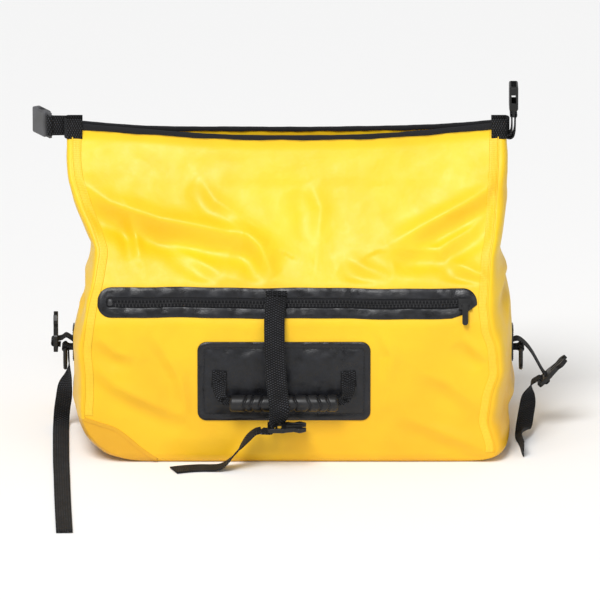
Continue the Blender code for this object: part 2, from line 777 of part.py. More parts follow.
def make_puller(pin, ear_gap, lay_flat):
    half = PULLER_WIDTH / 2
    thick = PULLER_THICKNESS / 2
    outline = [(pin.x - half, pin.y + 0.0008), (pin.x - half, pin.y - PULLER_LENGTH + 0.002),
               (pin.x - half + 0.002, pin.y - PULLER_LENGTH),
               (pin.x + half - 0.002, pin.y - PULLER_LENGTH),
               (pin.x + half, pin.y - PULLER_LENGTH + 0.002), (pin.x + half, pin.y + 0.0008)]
    tab = prism("zip_puller", outline, pin.z - thick, pin.z + thick, plastic())
    axle = rod("zip_puller_pin", pin, ear_gap + 0.0012, PULLER_PIN_RADIUS)
    join(tab, axle)
    for piece in (tab, axle):
        transform(piece, lay_flat)
    hang(pivot("zip_puller_pivot", lay_flat @ pin), tab)


def make_liner():
    """Pouch behind the slot: a dished sheet welded to the front wall all round."""
    rim, flange = 0.86, 0.82
    top = ZIP_HEIGHT + ZIP_FACET_HALF - 0.002
    heights = [LINER_BOTTOM, LINER_BOTTOM + 0.008, LINER_BOTTOM + 0.018,
               ZIP_HEIGHT - ZIP_FACET_HALF, ZIP_HEIGHT, top - 0.010, top - 0.004, top]
    across = [-rim, -flange, -flange + 0.04, -0.4, 0.0, 0.4, flange - 0.04, flange, rim]

    def depth(u, z):
        inside = abs(u) < flange - 0.01 and heights[1] < z < heights[-2]
        return WALL + FIT + (LINER_DEPTH if inside else 0.0)

    sheet("pocket_liner", "front", across, heights, LINER_THICKNESS, inner_fabric(), depth)


# ---------------------------------------------------------------- carry handle

def make_handle():
    """Patch, sewn anchors, webbing through a turned grip; local frame of the belly facet."""
    frame = facet_matrix(PATCH_CENTRE_Z, PATCH_CENTRE_X)
    lay_flat = frame @ Matrix.Rotation(math.pi / 2, 4, "X")
    patch_top = FIT + PATCH_THICKNESS
    patch = prism("handle_patch", rounded_rectangle(PATCH_LENGTH, PATCH_HEIGHT, PATCH_CORNER),
                  FIT, patch_top, black_coated())
    transform(patch, lay_flat)
    anchor_low = patch_top + FIT
    anchor_high = anchor_low + 2 * WEBBING_THICKNESS
    half = HANDLE_WEBBING_WIDTH / 2
    for name, sign in (("left", -1), ("right", 1)):
        x = sign * HANDLE_SPAN / 2
        anchor = box(f"{name}_handle_anchor", (x - half, 0.0, anchor_low),
                     (x + half, HANDLE_ANCHOR_HEIGHT, anchor_high), webbing())
        bevel(anchor, 0.0005, 1)
        transform(anchor, lay_flat)
    grip_out = patch_top + FINGER_GAP + GRIP_RADIUS
    root_out = anchor_high - WEBBING_THICKNESS / 2
    axis = lay_flat @ Vector((0.0, -HANDLE_HINGE_DROP, root_out))
    empty = pivot("handle_pivot", axis)
    hang(empty, make_handle_webbing(root_out, grip_out, lay_flat), make_grip(grip_out, lay_flat))
    return lay_flat, grip_out


def make_handle_webbing(root_out, grip_out, lay_flat):
    """Webbing that drops from the left anchor, folds into the grip and rises to the right."""
    span = HANDLE_SPAN / 2
    turn = span - 0.011
    down = -HANDLE_DROP
    start = HANDLE_HINGE_DROP - 0.6 * WEBBING_THICKNESS
    left = [((-span, -start, root_out), (1, 0, 0), HANDLE_WEBBING_WIDTH, WEBBING_THICKNESS),
            ((-span, -0.0055, root_out + 0.0004), (1, 0, 0), 0.017, WEBBING_THICKNESS),
            ((-span, -0.0105, root_out * 0.6 + grip_out * 0.4), (1, 0.1, 0), 0.014, 0.0021),
            ((-span + 0.0015, down + 0.007, grip_out - 0.001), (0.97, 0.25, 0), 0.011, 0.0024),
            ((-span + 0.0050, down + 0.002, grip_out), (0.6, 0.8, 0), 0.0095, 0.0027),
            ((-turn, down, grip_out), (0, 1, 0), HANDLE_CORE_WIDTH, HANDLE_CORE_THICKNESS)]
    middle = [((0.0, down, grip_out), (0, 1, 0), HANDLE_CORE_WIDTH, HANDLE_CORE_THICKNESS)]
    right = [((-p[0], p[1], p[2]), (-a[0], a[1], a[2]), w, t) for p, a, w, t in reversed(left)]
    stations = left + middle + right
    path = [s[0] for s in stations]
    across = [s[1] if s[0][0] <= 0 else tuple(s[1]) for s in stations]
    strap = ribbon("handle_webbing", path, across, [s[2] for s in stations],
                   [s[3] for s in stations], webbing())
    return transform(strap, lay_flat)


def make_grip(grip_out, lay_flat):
    """Turned rubber grip with finger grooves and a bore for the webbing."""
    half = GRIP_LENGTH / 2
    profile = [(-half, GRIP_BORE), (-half, GRIP_RADIUS * 0.86), (-half + 0.003, GRIP_RADIUS)]
    spacing = GRIP_LENGTH / (GRIP_GROOVES + 1)
    for k in range(GRIP_GROOVES):
        x = -half + spacing * (k + 1)
        profile += [(x - 0.0016, GRIP_RADIUS), (x, GRIP_RADIUS - GRIP_GROOVE_DEPTH),
                    (x + 0.0016, GRIP_RADIUS)]
    profile += [(half - 0.003, GRIP_RADIUS), (half, GRIP_RADIUS * 0.86), (half, GRIP_BORE)]
    sides = 14
    rings = []
    for k in range(sides):
        angle = 2 * math.pi * k / sides
        rings.append([(x, -HANDLE_DROP + r * math.cos(angle), grip_out + r * math.sin(angle))
                      for x, r in profile])
    grip = loft("handle_grip", rings, plastic(), closed=True, smooth=True)
    return transform(grip, lay_flat)


# ---------------------------------------------------------------- centre straps

def strap_line(grip_out, handle_frame):
    """Points of the front strap: at its anchor, over the belly's edge and before the grip."""
    zip_frame = facet_matrix(ZIP_HEIGHT) @ Matrix.Rotation(math.pi / 2, 4, "X")
    anchor_out = FIT * 2 + ZIP_SURROUND_THICKNESS + STRAP_ANCHOR_DEPTH
    strap_out = anchor_out + FIT + WEBBING_THICKNESS / 2
    top = zip_frame @ Vector((0, STRAP_ANCHOR_RISE - STRAP_ANCHOR_HEIGHT / 2, strap_out))
    edge = zip_frame @ Vector((0, -ZIP_FACET_HALF, strap_out))
    clear = grip_out + GRIP_RADIUS + FIT * 3 + WEBBING_THICKNESS / 2
    grip = handle_frame @ Vector((0, -HANDLE_DROP, clear))
    return [Vector((STRAP_X, point.y, point.z)) for point in (top, edge, grip)]


def make_front_strap(grip_out, handle_frame):
    zip_frame = facet_matrix(ZIP_HEIGHT) @ Matrix.Rotation(math.pi / 2, 4, "X")
    low = FIT + ZIP_SURROUND_THICKNESS + FIT
    anchor = box("front_strap_anchor",
                 (STRAP_X - STRAP_ANCHOR_LENGTH / 2, STRAP_ANCHOR_RISE - STRAP_ANCHOR_HEIGHT / 2,
                  low),
                 (STRAP_X + STRAP_ANCHOR_LENGTH / 2, STRAP_ANCHOR_RISE + STRAP_ANCHOR_HEIGHT / 2,
                  low + STRAP_ANCHOR_DEPTH), webbing())
    bevel(anchor, 0.0015)
    transform(anchor, zip_frame)
    top, edge, grip = strap_line(grip_out, handle_frame)
    onward = (grip - edge).normalized()
    joint = edge.lerp(grip, STRAP_HINGE_SHARE)
    upper = even_ribbon("front_strap_upper",
                        [top, top.lerp(edge, 0.5), top.lerp(edge, 0.9), edge.lerp(grip, 0.06),
                         joint - onward * WEBBING_THICKNESS * 0.75],
                        (1, 0, 0), WEBBING_WIDTH, WEBBING_THICKNESS, webbing())
    hang(pivot("front_strap_ride_pivot", top), upper)
    buckle_at = Vector((STRAP_X - 0.004, grip.y - 0.001, FRONT_BUCKLE_HEIGHT))
    half = WEBBING_THICKNESS / 2
    slit = BUCKLE_BAR * 0.8 + BUCKLE_SLIT / 2
    under = MALE_THICKNESS / 2 + FIT + half
    path = [joint, joint.lerp(grip, 0.5), grip,
            grip + onward * 0.008, buckle_at + Vector((-slit * 0.6, 0.0005, 0.0120)),
            buckle_at + Vector((-slit, 0, 0.0060)), buckle_at + Vector((-slit, 0, -0.0005)),
            buckle_at + Vector((-slit - 0.0008, 0, -under + 0.0010)),
            buckle_at + Vector((-slit - 0.0035, 0, -under - 0.0010)),
            buckle_at + Vector((-slit - 0.0120, 0, -under - 0.0012))]
    across = [(1, 0, 0)] * 3 + [(0.93, 0.37, 0), (0.45, 0.9, 0)] + [(0, 1, 0)] * 5
    widths = [WEBBING_WIDTH] * len(path)
    lower = ribbon("front_strap_lower", path, across, widths, [WEBBING_THICKNESS] * len(path),
                   webbing())
    buckle = male_buckle("front_male_buckle", WEBBING_WIDTH,
                         local_frame(buckle_at, (1, 0, 0), (0, 1, 0)), plastic())
    empty = pivot("front_strap_pivot", joint)
    hang(empty, lower, buckle, make_front_tail())


def make_back_strap():
    frame = facet_matrix(BACK_STRAP_HEIGHT, -STRAP_X, back=True)
    lay_flat = frame @ Matrix.Rotation(math.pi / 2, 4, "X")
    anchor = box("back_strap_anchor", (-STRAP_ANCHOR_LENGTH / 2, 0.0, FIT),
                 (STRAP_ANCHOR_LENGTH / 2, STRAP_ANCHOR_HEIGHT * 2, FIT + STRAP_ANCHOR_DEPTH / 2),
                 webbing())
    bevel(anchor, 0.0008, 1)
    transform(anchor, lay_flat)
    top = lay_flat @ Vector((0, -FIT, FIT + STRAP_ANCHOR_DEPTH / 2 + FIT))
    foot_y = BAG_DEPTH / 2 + FEMALE_THICKNESS / 2 + 0.004
    bar = Vector((top.x, foot_y, top.z - BACK_STRAP_LENGTH))
    belly = wall_point("back", 0.0, ZIP_HEIGHT - ZIP_FACET_HALF)
    over_belly = Vector((top.x, belly.y + 0.0045, belly.z))
    down = (bar - over_belly).normalized()
    path = [top, over_belly, bar - down * (BAR_LOOP + 0.004)]
    out = Vector((0, down.z, -down.y))
    for degrees in range(-120, 121, 30):
        a = math.radians(degrees)
        path.append(bar + down * math.cos(a) * BAR_LOOP + out * math.sin(a) * BAR_LOOP)
    strap = even_ribbon("back_strap", path, (1, 0, 0), WEBBING_WIDTH, WEBBING_THICKNESS,
                        webbing())
    hang(pivot("back_strap_pivot", top), strap)
    buckle = female_buckle("back_female_buckle", WEBBING_WIDTH,
                           local_frame(bar, down, (1, 0, 0)), plastic())
    hang(pivot("back_buckle_pivot", bar), buckle)


# ---------------------------------------------------------------- side hardware

def side_wall_x():
    s = section_at(ANCHOR_HEIGHT)
    return s.seam + s.bulge + SEAM_GAP / 2


def make_side(name, sign):
    """Anchor patch, loop and hanging D-ring of one end; returns the patch's outer face x."""
    patch_in = side_wall_x() + ANCHOR_PATCH_CLEARANCE
    patch_out = patch_in + ANCHOR_PATCH_THICKNESS
    half = ANCHOR_PATCH_WIDTH / 2
    xs = sorted((sign * patch_in, sign * patch_out))
    patch = box(f"{name}_anchor_patch", (xs[0], -half, ANCHOR_HEIGHT - ANCHOR_PATCH_HEIGHT / 2),
                (xs[1], half, ANCHOR_HEIGHT + ANCHOR_PATCH_HEIGHT / 2), black_coated())
    bevel(patch, 0.0004, 1)
    ring_x = patch_out + RING_OUTREACH
    ring_z = ANCHOR_HEIGHT - RING_DROP
    make_anchor_loop(name, sign, patch_out, ring_x, ring_z)
    make_ring(name, sign, ring_x, ring_z)
    return patch_out


def make_anchor_loop(name, sign, patch_out, ring_x, ring_z):
    """Webbing folded round the ring's bar, both layers sewn to the patch."""
    loop = RING_ROD / 2 + FIT + SIDE_WEBBING_THICKNESS / 2
    layer = SIDE_WEBBING_THICKNESS / 2 + FIT / 2
    root = patch_out + FIT
    path = [(root, ring_z + layer), (ring_x - loop * 1.5, ring_z + layer)]
    path += arc((ring_x, ring_z), loop, 150, -150, 12)
    path += [(ring_x - loop * 1.5, ring_z - layer), (root, ring_z - layer)]
    path = [(sign * x, 0.0, z) for x, z in path]
    even_ribbon(f"{name}_anchor_loop", path, (0, 1, 0), SIDE_WEBBING_WIDTH,
                SIDE_WEBBING_THICKNESS, webbing())


def make_ring(name, sign, ring_x, ring_z):
    """D-ring of octagonal rod: straight bar on top, round below, hanging in the YZ plane."""
    half = (RING_INNER_WIDTH + RING_ROD) / 2
    drop = RING_INNER_HEIGHT + RING_ROD
    path = [(-half, 0.0), (-half * 0.33, 0.0), (half * 0.33, 0.0), (half, 0.0)]
    straight = drop - half
    path += [(half * math.cos(a), -straight - half * math.sin(a))
             for a in [math.radians(d) for d in range(0, 181, 18)]]
    rings = []
    count = len(path)
    for i, (y, z) in enumerate(path):
        before, after = path[i - 1], path[(i + 1) % count]
        tangent = Vector((0, after[0] - before[0], after[1] - before[1])).normalized()
        if i == 0:
            outward = Vector((0, -1, 1)).normalized() * math.sqrt(2)
        elif i == 3:
            outward = Vector((0, 1, 1)).normalized() * math.sqrt(2)
        else:
            outward = Vector((1, 0, 0)).cross(tangent)
            if outward.dot(Vector((0, y, z + straight))) < 0:
                outward = -outward
        flat, chamfer = RING_ROD / 2, RING_ROD / 2 * 0.45
        centre = Vector((sign * ring_x, y, ring_z + z))
        across = Vector((1, 0, 0))
        rings.append([centre + across * a + outward * b
                      for a, b in ((flat, chamfer), (chamfer, flat), (-chamfer, flat),
                                   (-flat, chamfer), (-flat, -chamfer), (-chamfer, -flat),
                                   (chamfer, -flat), (flat, -chamfer))])
    ring = loft(f"{name}_d_ring", rings, plastic(), closed=True)
    hang(pivot(f"{name}_d_ring_pivot", (sign * ring_x, 0.0, ring_z)), ring)


def make_left_strap(patch_out):
    """Short strap up to an upright prong buckle beside the anchor."""
    hinge = Vector((-(patch_out + FIT * 3), 0.0, ANCHOR_HEIGHT + 0.0035))
    bar = Vector((hinge.x - 0.0215, 0.0, ANCHOR_HEIGHT + 0.001))
    slit = BUCKLE_BAR * 0.8 + BUCKLE_SLIT / 2
    reach = MALE_THICKNESS / 2 + FIT + SIDE_WEBBING_THICKNESS / 2 + 0.0008
    path = [hinge, hinge + Vector((-0.004, 0, 0.0030)), hinge + Vector((-0.009, 0, 0.0055)),
            bar + Vector((reach + 0.003, 0, slit + 0.0012)), bar + Vector((0.001, 0, slit)),
            bar + Vector((-reach + 0.0006, 0, slit - 0.0004)),
            bar + Vector((-reach - 0.0006, 0, 0)),
            bar + Vector((-reach + 0.0006, 0, -slit + 0.0004)), bar + Vector((0.001, 0, -slit)),
            bar + Vector((reach + 0.0015, 0, -slit - 0.0004))]
    strap = even_ribbon("left_side_strap", path, (0, 1, 0), SIDE_WEBBING_WIDTH,
                        SIDE_WEBBING_THICKNESS, webbing())
    buckle = male_buckle("left_male_buckle", SIDE_WEBBING_WIDTH,
                         local_frame(bar, (0, 0, 1), (0, 1, 0)), plastic())
    hang(pivot("left_strap_pivot", hinge), strap, buckle)


def make_right_strap(patch_out):
    """Longer strap that arcs out to a tilted prong buckle with the free tail below it."""
    hinge = Vector((patch_out + FIT * 3, 0.0, ANCHOR_HEIGHT + 0.0035))
    tilt = math.radians(45)
    along = Vector((math.cos(tilt), 0, math.sin(tilt)))
    normal = Vector((-along.z, 0, along.x))
    bar = Vector((hinge.x + 0.0400, 0.0, ANCHOR_HEIGHT - 0.046))
    slit = BUCKLE_BAR * 0.8 + BUCKLE_SLIT / 2
    under = MALE_THICKNESS / 2 + FIT + SIDE_WEBBING_THICKNESS / 2 + 0.0008

    def near_bar(a, n):
        return bar + along * a + normal * n

    path = [hinge, hinge + Vector((0.007, 0, 0.0010)), hinge + Vector((0.016, 0, -0.0060)),
            hinge + Vector((0.0245, 0, -0.0175)), near_bar(slit + 0.001, under + 0.005),
            near_bar(slit, 0.001), near_bar(slit - 0.0004, -under + 0.0004),
            near_bar(0, -under - 0.0006), near_bar(-slit + 0.0004, -under + 0.0004),
            near_bar(-slit, 0.001), near_bar(-slit - 0.0012, under + 0.0004),
            near_bar(-slit - 0.0060, under + 0.0016)]
    strap = even_ribbon("right_side_strap", path, (0, 1, 0), SIDE_WEBBING_WIDTH,
                        SIDE_WEBBING_THICKNESS, webbing())
    buckle = male_buckle("right_male_buckle", SIDE_WEBBING_WIDTH,
                         local_frame(bar, along, (0, 1, 0)), plastic())
    hang(pivot("right_strap_pivot", hinge), strap, buckle, make_right_tail())


# ---------------------------------------------------------------- free strap tails

def make_tail(name, route, width, thickness):
    """Flat tail: each entry of the route is a point and the webbing's width direction."""
    steps = 3
    path = smooth_path([point for point, _ in route], steps)
    across = smooth_path([side for _, side in route], steps)
    return ribbon(name, path, across, [width] * len(path), [thickness] * len(path), webbing())


def beside_wall(sign, route):
    """Route entries given by their distance outside the end wall, put at their real x."""
    wall = BELLY_SEAM + END_BULGE + SEAM_GAP / 2
    return [((sign * (wall + point[0]), point[1], point[2]), side) for point, side in route]


def make_left_tail():
    """Drops beside the end panel, turns a quarter and runs forward over the ground."""
    route = [((0.0072, 0.000, 0.1020), (0, 1, 0)), ((0.0069, 0.000, 0.0930), (0, 1, 0)),
             ((0.0062, -0.002, 0.0810), (0.1, 1, 0)), ((0.0075, -0.002, 0.0690), (0.45, 0.9, 0)),
             ((0.0113, 0.000, 0.0560), (0.85, 0.5, 0)), ((0.0133, 0.006, 0.0400), (1, 0.15, 0)),
             ((0.0155, 0.015, 0.0240), (1, 0, 0.03)), ((0.0167, 0.021, 0.0110), (1, 0, 0.03)),
             ((0.0171, 0.017, 0.0032), (1, 0, 0)), ((0.0171, 0.004, 0.0010), (1, 0, 0)),
             ((0.0167, -0.020, 0.0010), (1, 0, 0)), ((0.0155, -0.070, 0.0010), (1, 0.02, 0)),
             ((0.0139, -0.130, 0.0010), (1, 0.03, 0)), ((0.0117, -0.190, 0.0010), (1, 0.03, 0)),
             ((0.0097, -0.250, 0.0010), (1, 0.03, 0)), ((0.0075, -0.310, 0.0010), (1, 0.04, 0)),
             ((0.0055, -0.360, 0.0010), (1, 0.04, 0)), ((0.0037, -0.404, 0.0010), (1, 0.04, 0))]
    make_tail("left_strap_tail", beside_wall(-1, route), SIDE_WEBBING_WIDTH,
              SIDE_WEBBING_THICKNESS)


def make_front_tail():
    """Leaves the front buckle to the left, falls to the ground and lies along the base."""
    route = [((-0.0385, -0.1560, 0.0492), (0, 1, 0)), ((-0.0460, -0.1565, 0.0470), (0.1, 1, 0.1)),
             ((-0.0545, -0.1572, 0.0395), (0.35, 1, 0.5)),
             ((-0.0630, -0.1580, 0.0290), (0.5, 0.6, 0.6)),
             ((-0.0710, -0.1590, 0.0185), (0.5, 0.8, 0.35)),
             ((-0.0800, -0.1585, 0.0085), (0.25, 1, 0.1)),
             ((-0.0890, -0.1570, 0.0027), (0.1, 1, 0)), ((-0.1000, -0.1560, 0.0012), (0.05, 1, 0)),
             ((-0.1120, -0.1560, 0.0012), (-0.05, 1, 0)),
             ((-0.1240, -0.1580, 0.0012), (-0.1, 1, 0)),
             ((-0.1350, -0.1610, 0.0012), (-0.2, 1, 0)),
             ((-0.1450, -0.1650, 0.0012), (-0.3, 1, 0))]
    return make_tail("front_strap_tail", route, WEBBING_WIDTH, WEBBING_THICKNESS)


def make_right_tail():
    """Hangs from the right buckle, turns and runs forward over the ground."""
    route = [((0.0287, 0.000, 0.0640), (0, 1, 0)), ((0.0253, 0.000, 0.0612), (0, 1, 0)),
             ((0.0225, -0.001, 0.0545), (0.3, 1, 0)), ((0.0209, -0.003, 0.0450), (0.8, 0.6, 0)),
             ((0.0197, -0.006, 0.0350), (1, 0.25, 0)), ((0.0177, -0.011, 0.0245), (1, 0.2, 0)),
             ((0.0157, -0.019, 0.0148), (1, 0.15, 0.1)), ((0.0132, -0.031, 0.0085), (1, 0, 0.4)),
             ((0.0113, -0.045, 0.0096), (0.7, 0, 0.75)), ((0.0103, -0.060, 0.0110), (0.3, 0, 1)),
             ((0.0103, -0.078, 0.0108), (0.05, 0, 1)), ((0.0113, -0.096, 0.0106), (0.03, 0, 1)),
             ((0.0127, -0.110, 0.0106), (0.03, 0, 1))]
    return make_tail("right_strap_tail", beside_wall(1, route), SIDE_WEBBING_WIDTH,
                     SIDE_WEBBING_THICKNESS)


def main():
    clear_scene()
    front_panel = make_shell()
    make_base()
    fold_y = wall_point("front", 0.0, FOLD_HEIGHT).y - FOLD_AXIS_OFFSET
    make_collar(pivot("collar_pivot", (0.0, fold_y, FOLD_HEIGHT)))
    make_mouth_buckles()
    make_zip(front_panel)
    make_liner()
    handle_frame, grip_out = make_handle()
    make_front_strap(grip_out, handle_frame)
    make_back_strap()
    left_out = make_side("left", -1)
    right_out = make_side("right", 1)
    make_left_strap(left_out)
    make_right_strap(right_out)
    make_left_tail()


main()
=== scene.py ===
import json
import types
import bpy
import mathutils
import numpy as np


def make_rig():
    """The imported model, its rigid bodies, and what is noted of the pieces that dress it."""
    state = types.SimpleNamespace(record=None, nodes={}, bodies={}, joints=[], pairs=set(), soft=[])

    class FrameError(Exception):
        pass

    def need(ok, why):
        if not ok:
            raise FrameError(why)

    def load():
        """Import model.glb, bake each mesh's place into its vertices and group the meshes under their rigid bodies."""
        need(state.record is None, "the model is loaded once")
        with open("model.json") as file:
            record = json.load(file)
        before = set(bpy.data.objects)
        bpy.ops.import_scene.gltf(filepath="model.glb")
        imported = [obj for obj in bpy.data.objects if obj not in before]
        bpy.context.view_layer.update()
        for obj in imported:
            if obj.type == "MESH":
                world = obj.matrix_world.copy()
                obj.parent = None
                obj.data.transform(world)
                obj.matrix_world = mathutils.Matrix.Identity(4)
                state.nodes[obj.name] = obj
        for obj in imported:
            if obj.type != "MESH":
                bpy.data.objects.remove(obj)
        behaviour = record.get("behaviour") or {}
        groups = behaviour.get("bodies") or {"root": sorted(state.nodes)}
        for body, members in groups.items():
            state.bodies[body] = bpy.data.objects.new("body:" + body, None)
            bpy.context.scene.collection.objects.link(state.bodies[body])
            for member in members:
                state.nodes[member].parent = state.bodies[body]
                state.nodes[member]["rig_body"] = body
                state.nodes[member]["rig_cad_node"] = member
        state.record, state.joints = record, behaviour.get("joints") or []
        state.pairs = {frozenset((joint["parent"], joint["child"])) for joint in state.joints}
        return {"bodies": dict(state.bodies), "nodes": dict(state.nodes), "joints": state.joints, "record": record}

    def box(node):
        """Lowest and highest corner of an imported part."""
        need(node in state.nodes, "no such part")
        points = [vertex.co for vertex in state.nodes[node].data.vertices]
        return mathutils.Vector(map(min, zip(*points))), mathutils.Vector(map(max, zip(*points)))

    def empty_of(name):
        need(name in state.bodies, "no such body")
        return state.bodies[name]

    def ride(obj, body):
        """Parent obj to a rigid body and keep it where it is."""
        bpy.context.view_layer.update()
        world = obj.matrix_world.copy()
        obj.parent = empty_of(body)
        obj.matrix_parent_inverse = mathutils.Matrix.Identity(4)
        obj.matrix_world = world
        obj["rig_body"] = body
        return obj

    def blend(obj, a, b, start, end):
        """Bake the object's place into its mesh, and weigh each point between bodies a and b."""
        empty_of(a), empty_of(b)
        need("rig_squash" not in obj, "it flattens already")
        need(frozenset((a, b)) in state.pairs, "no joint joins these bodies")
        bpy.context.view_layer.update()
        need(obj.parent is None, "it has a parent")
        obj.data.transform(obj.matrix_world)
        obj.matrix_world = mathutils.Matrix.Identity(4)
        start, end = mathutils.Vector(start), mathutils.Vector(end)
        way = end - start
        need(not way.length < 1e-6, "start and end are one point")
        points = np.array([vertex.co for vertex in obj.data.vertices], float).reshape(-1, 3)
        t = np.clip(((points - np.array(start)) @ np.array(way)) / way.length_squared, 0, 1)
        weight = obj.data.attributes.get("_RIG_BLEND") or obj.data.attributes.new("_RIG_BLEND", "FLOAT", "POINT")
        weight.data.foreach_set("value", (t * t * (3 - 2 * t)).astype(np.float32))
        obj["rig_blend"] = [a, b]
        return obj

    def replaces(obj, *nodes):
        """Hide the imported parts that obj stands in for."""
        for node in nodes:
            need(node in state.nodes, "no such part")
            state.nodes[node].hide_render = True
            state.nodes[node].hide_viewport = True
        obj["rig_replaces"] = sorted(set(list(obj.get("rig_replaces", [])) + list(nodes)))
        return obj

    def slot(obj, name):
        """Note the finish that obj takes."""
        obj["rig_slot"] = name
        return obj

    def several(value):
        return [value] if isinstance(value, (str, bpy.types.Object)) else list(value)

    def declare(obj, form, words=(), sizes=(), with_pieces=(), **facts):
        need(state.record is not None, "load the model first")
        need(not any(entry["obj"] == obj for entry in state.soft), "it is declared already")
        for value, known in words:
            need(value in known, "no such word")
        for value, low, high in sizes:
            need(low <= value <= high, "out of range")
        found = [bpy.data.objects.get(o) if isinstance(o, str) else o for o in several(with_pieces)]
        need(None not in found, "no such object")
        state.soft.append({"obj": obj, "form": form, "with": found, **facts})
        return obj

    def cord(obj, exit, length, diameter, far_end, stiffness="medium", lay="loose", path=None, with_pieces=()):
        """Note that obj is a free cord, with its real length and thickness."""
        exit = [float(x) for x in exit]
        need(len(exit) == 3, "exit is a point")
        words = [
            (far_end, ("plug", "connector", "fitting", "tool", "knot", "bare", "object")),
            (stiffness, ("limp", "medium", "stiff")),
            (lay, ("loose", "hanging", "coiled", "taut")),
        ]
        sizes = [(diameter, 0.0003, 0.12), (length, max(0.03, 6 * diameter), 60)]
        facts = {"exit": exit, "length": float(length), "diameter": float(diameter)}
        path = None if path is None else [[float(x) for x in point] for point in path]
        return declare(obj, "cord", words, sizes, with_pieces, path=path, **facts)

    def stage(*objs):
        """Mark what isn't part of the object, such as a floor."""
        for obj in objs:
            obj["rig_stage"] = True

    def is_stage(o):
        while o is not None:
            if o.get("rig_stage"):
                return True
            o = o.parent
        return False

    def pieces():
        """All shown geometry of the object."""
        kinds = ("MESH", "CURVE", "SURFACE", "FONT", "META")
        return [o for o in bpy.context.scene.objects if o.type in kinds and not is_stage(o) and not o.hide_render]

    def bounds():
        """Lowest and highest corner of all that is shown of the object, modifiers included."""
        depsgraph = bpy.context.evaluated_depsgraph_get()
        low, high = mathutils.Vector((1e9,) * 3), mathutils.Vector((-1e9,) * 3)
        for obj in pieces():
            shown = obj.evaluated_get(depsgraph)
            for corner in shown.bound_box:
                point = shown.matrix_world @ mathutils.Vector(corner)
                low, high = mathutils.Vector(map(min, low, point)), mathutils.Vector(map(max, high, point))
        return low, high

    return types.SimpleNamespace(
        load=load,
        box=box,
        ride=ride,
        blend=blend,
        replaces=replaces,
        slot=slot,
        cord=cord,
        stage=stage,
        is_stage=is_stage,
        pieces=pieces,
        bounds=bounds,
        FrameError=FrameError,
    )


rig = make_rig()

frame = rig.load()

import json
import math
from functools import cache

import bmesh
import bpy
import numpy as np
from mathutils import Vector, noise

CAD_BOX = [list(corner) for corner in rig.bounds()]
NODES = frame["nodes"]
CAMERA_DISTANCE = 12.0
CAMERA_TILT = math.radians(17)
FLOOR_HALF = 6
FLOOR_DROP = 0.0006  # the floor lies just under the bag's base
MOUTH_SHIFT = -0.0075  # the mouth's middle stands this far left of the base's


# ---------------------------------------------------------------- camera, light and floor

def make_camera():
    target = Vector((0.0085, -0.13, 0.2063))
    data = bpy.data.cameras.new("camera")
    data.lens = 594.6
    data.sensor_width = 36
    camera = bpy.data.objects.new("camera", data)
    back = Vector((0, -math.cos(CAMERA_TILT), math.sin(CAMERA_TILT)))
    camera.location = target + back * CAMERA_DISTANCE
    camera.rotation_euler = (target - camera.location).to_track_quat("-Z", "Y").to_euler()
    bpy.context.scene.collection.objects.link(camera)
    bpy.context.scene.camera = camera


def area_light(name, place, aim, size, power):
    data = bpy.data.lights.new(name, "AREA")
    data.shape = "RECTANGLE"
    data.size, data.size_y = size
    data.energy = power
    light = bpy.data.objects.new(name, data)
    light.location = place
    light.rotation_euler = (Vector(aim) - Vector(place)).to_track_quat("-Z", "Y").to_euler()
    bpy.context.scene.collection.objects.link(light)


def make_studio():
    scene = bpy.context.scene
    scene.view_settings.view_transform = "Standard"
    world = bpy.data.worlds.new("studio")
    world.use_nodes = True
    background = world.node_tree.nodes["Background"]
    background.inputs["Color"].default_value = (1, 1, 1, 1)
    background.inputs["Strength"].default_value = 0.44
    scene.world = world
    sun = bpy.data.lights.new("key", "SUN")
    sun.energy = 2.2
    sun.angle = math.radians(24)
    key = bpy.data.objects.new("key", sun)
    key.rotation_euler = Vector((0.34, 1.0, -1.25)).to_track_quat("-Z", "Y").to_euler()
    scene.collection.objects.link(key)
    area_light("fill", (1.6, -2.2, 0.9), (0, 0, 0.2), (1.4, 1.0), 7)
    area_light("strip", (-0.5, -0.9, 1.7), (0, -0.1, 0.2), (0.9, 0.25), 5)
    corners = [(x * FLOOR_HALF, y * FLOOR_HALF, 0) for x, y in ((-1, -1), (1, -1), (1, 1), (-1, 1))]
    floor = mesh_object("studio_floor", corners, [(0, 1, 2, 3)])
    floor.location.z = -FLOOR_DROP
    floor.data.materials.append(floor_look())
    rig.stage(floor)


# ---------------------------------------------------------------- mesh helpers

def mesh_object(name, verts, faces, uvs=None, smooth=True):
    """Mesh from points and faces; uvs holds one (u, v) in metres for each point of a face."""
    mesh = bpy.data.meshes.new(name)
    mesh.from_pydata([tuple(v) for v in verts], [], [tuple(f) for f in faces])
    if uvs is not None:
        layer = mesh.uv_layers.new(name="UVMap")
        layer.data.foreach_set("uv", np.array(uvs, float).ravel())
    mesh.polygons.foreach_set("use_smooth", [smooth] * len(mesh.polygons))
    mesh.update()
    obj = bpy.data.objects.new(name, mesh)
    bpy.context.scene.collection.objects.link(obj)
    return obj


def grid_faces(rows, columns, wrap=False):
    """Quads of a grid, row by row; wrap joins the last column to the first."""
    faces = []
    for i in range(rows - 1):
        for j in range(columns if wrap else columns - 1):
            k = (j + 1) % columns
            faces.append((i * columns + j, i * columns + k,
                          (i + 1) * columns + k, (i + 1) * columns + j))
    return faces


def grid_uvs(rows, columns, at, wrap=False):
    """UVs of grid_faces, corner by corner; at(row, column) gives each pair."""
    uvs = []
    for i in range(rows - 1):
        for j in range(columns if wrap else columns - 1):
            uvs += [at(i, j), at(i, j + 1), at(i + 1, j + 1), at(i + 1, j)]
    return uvs


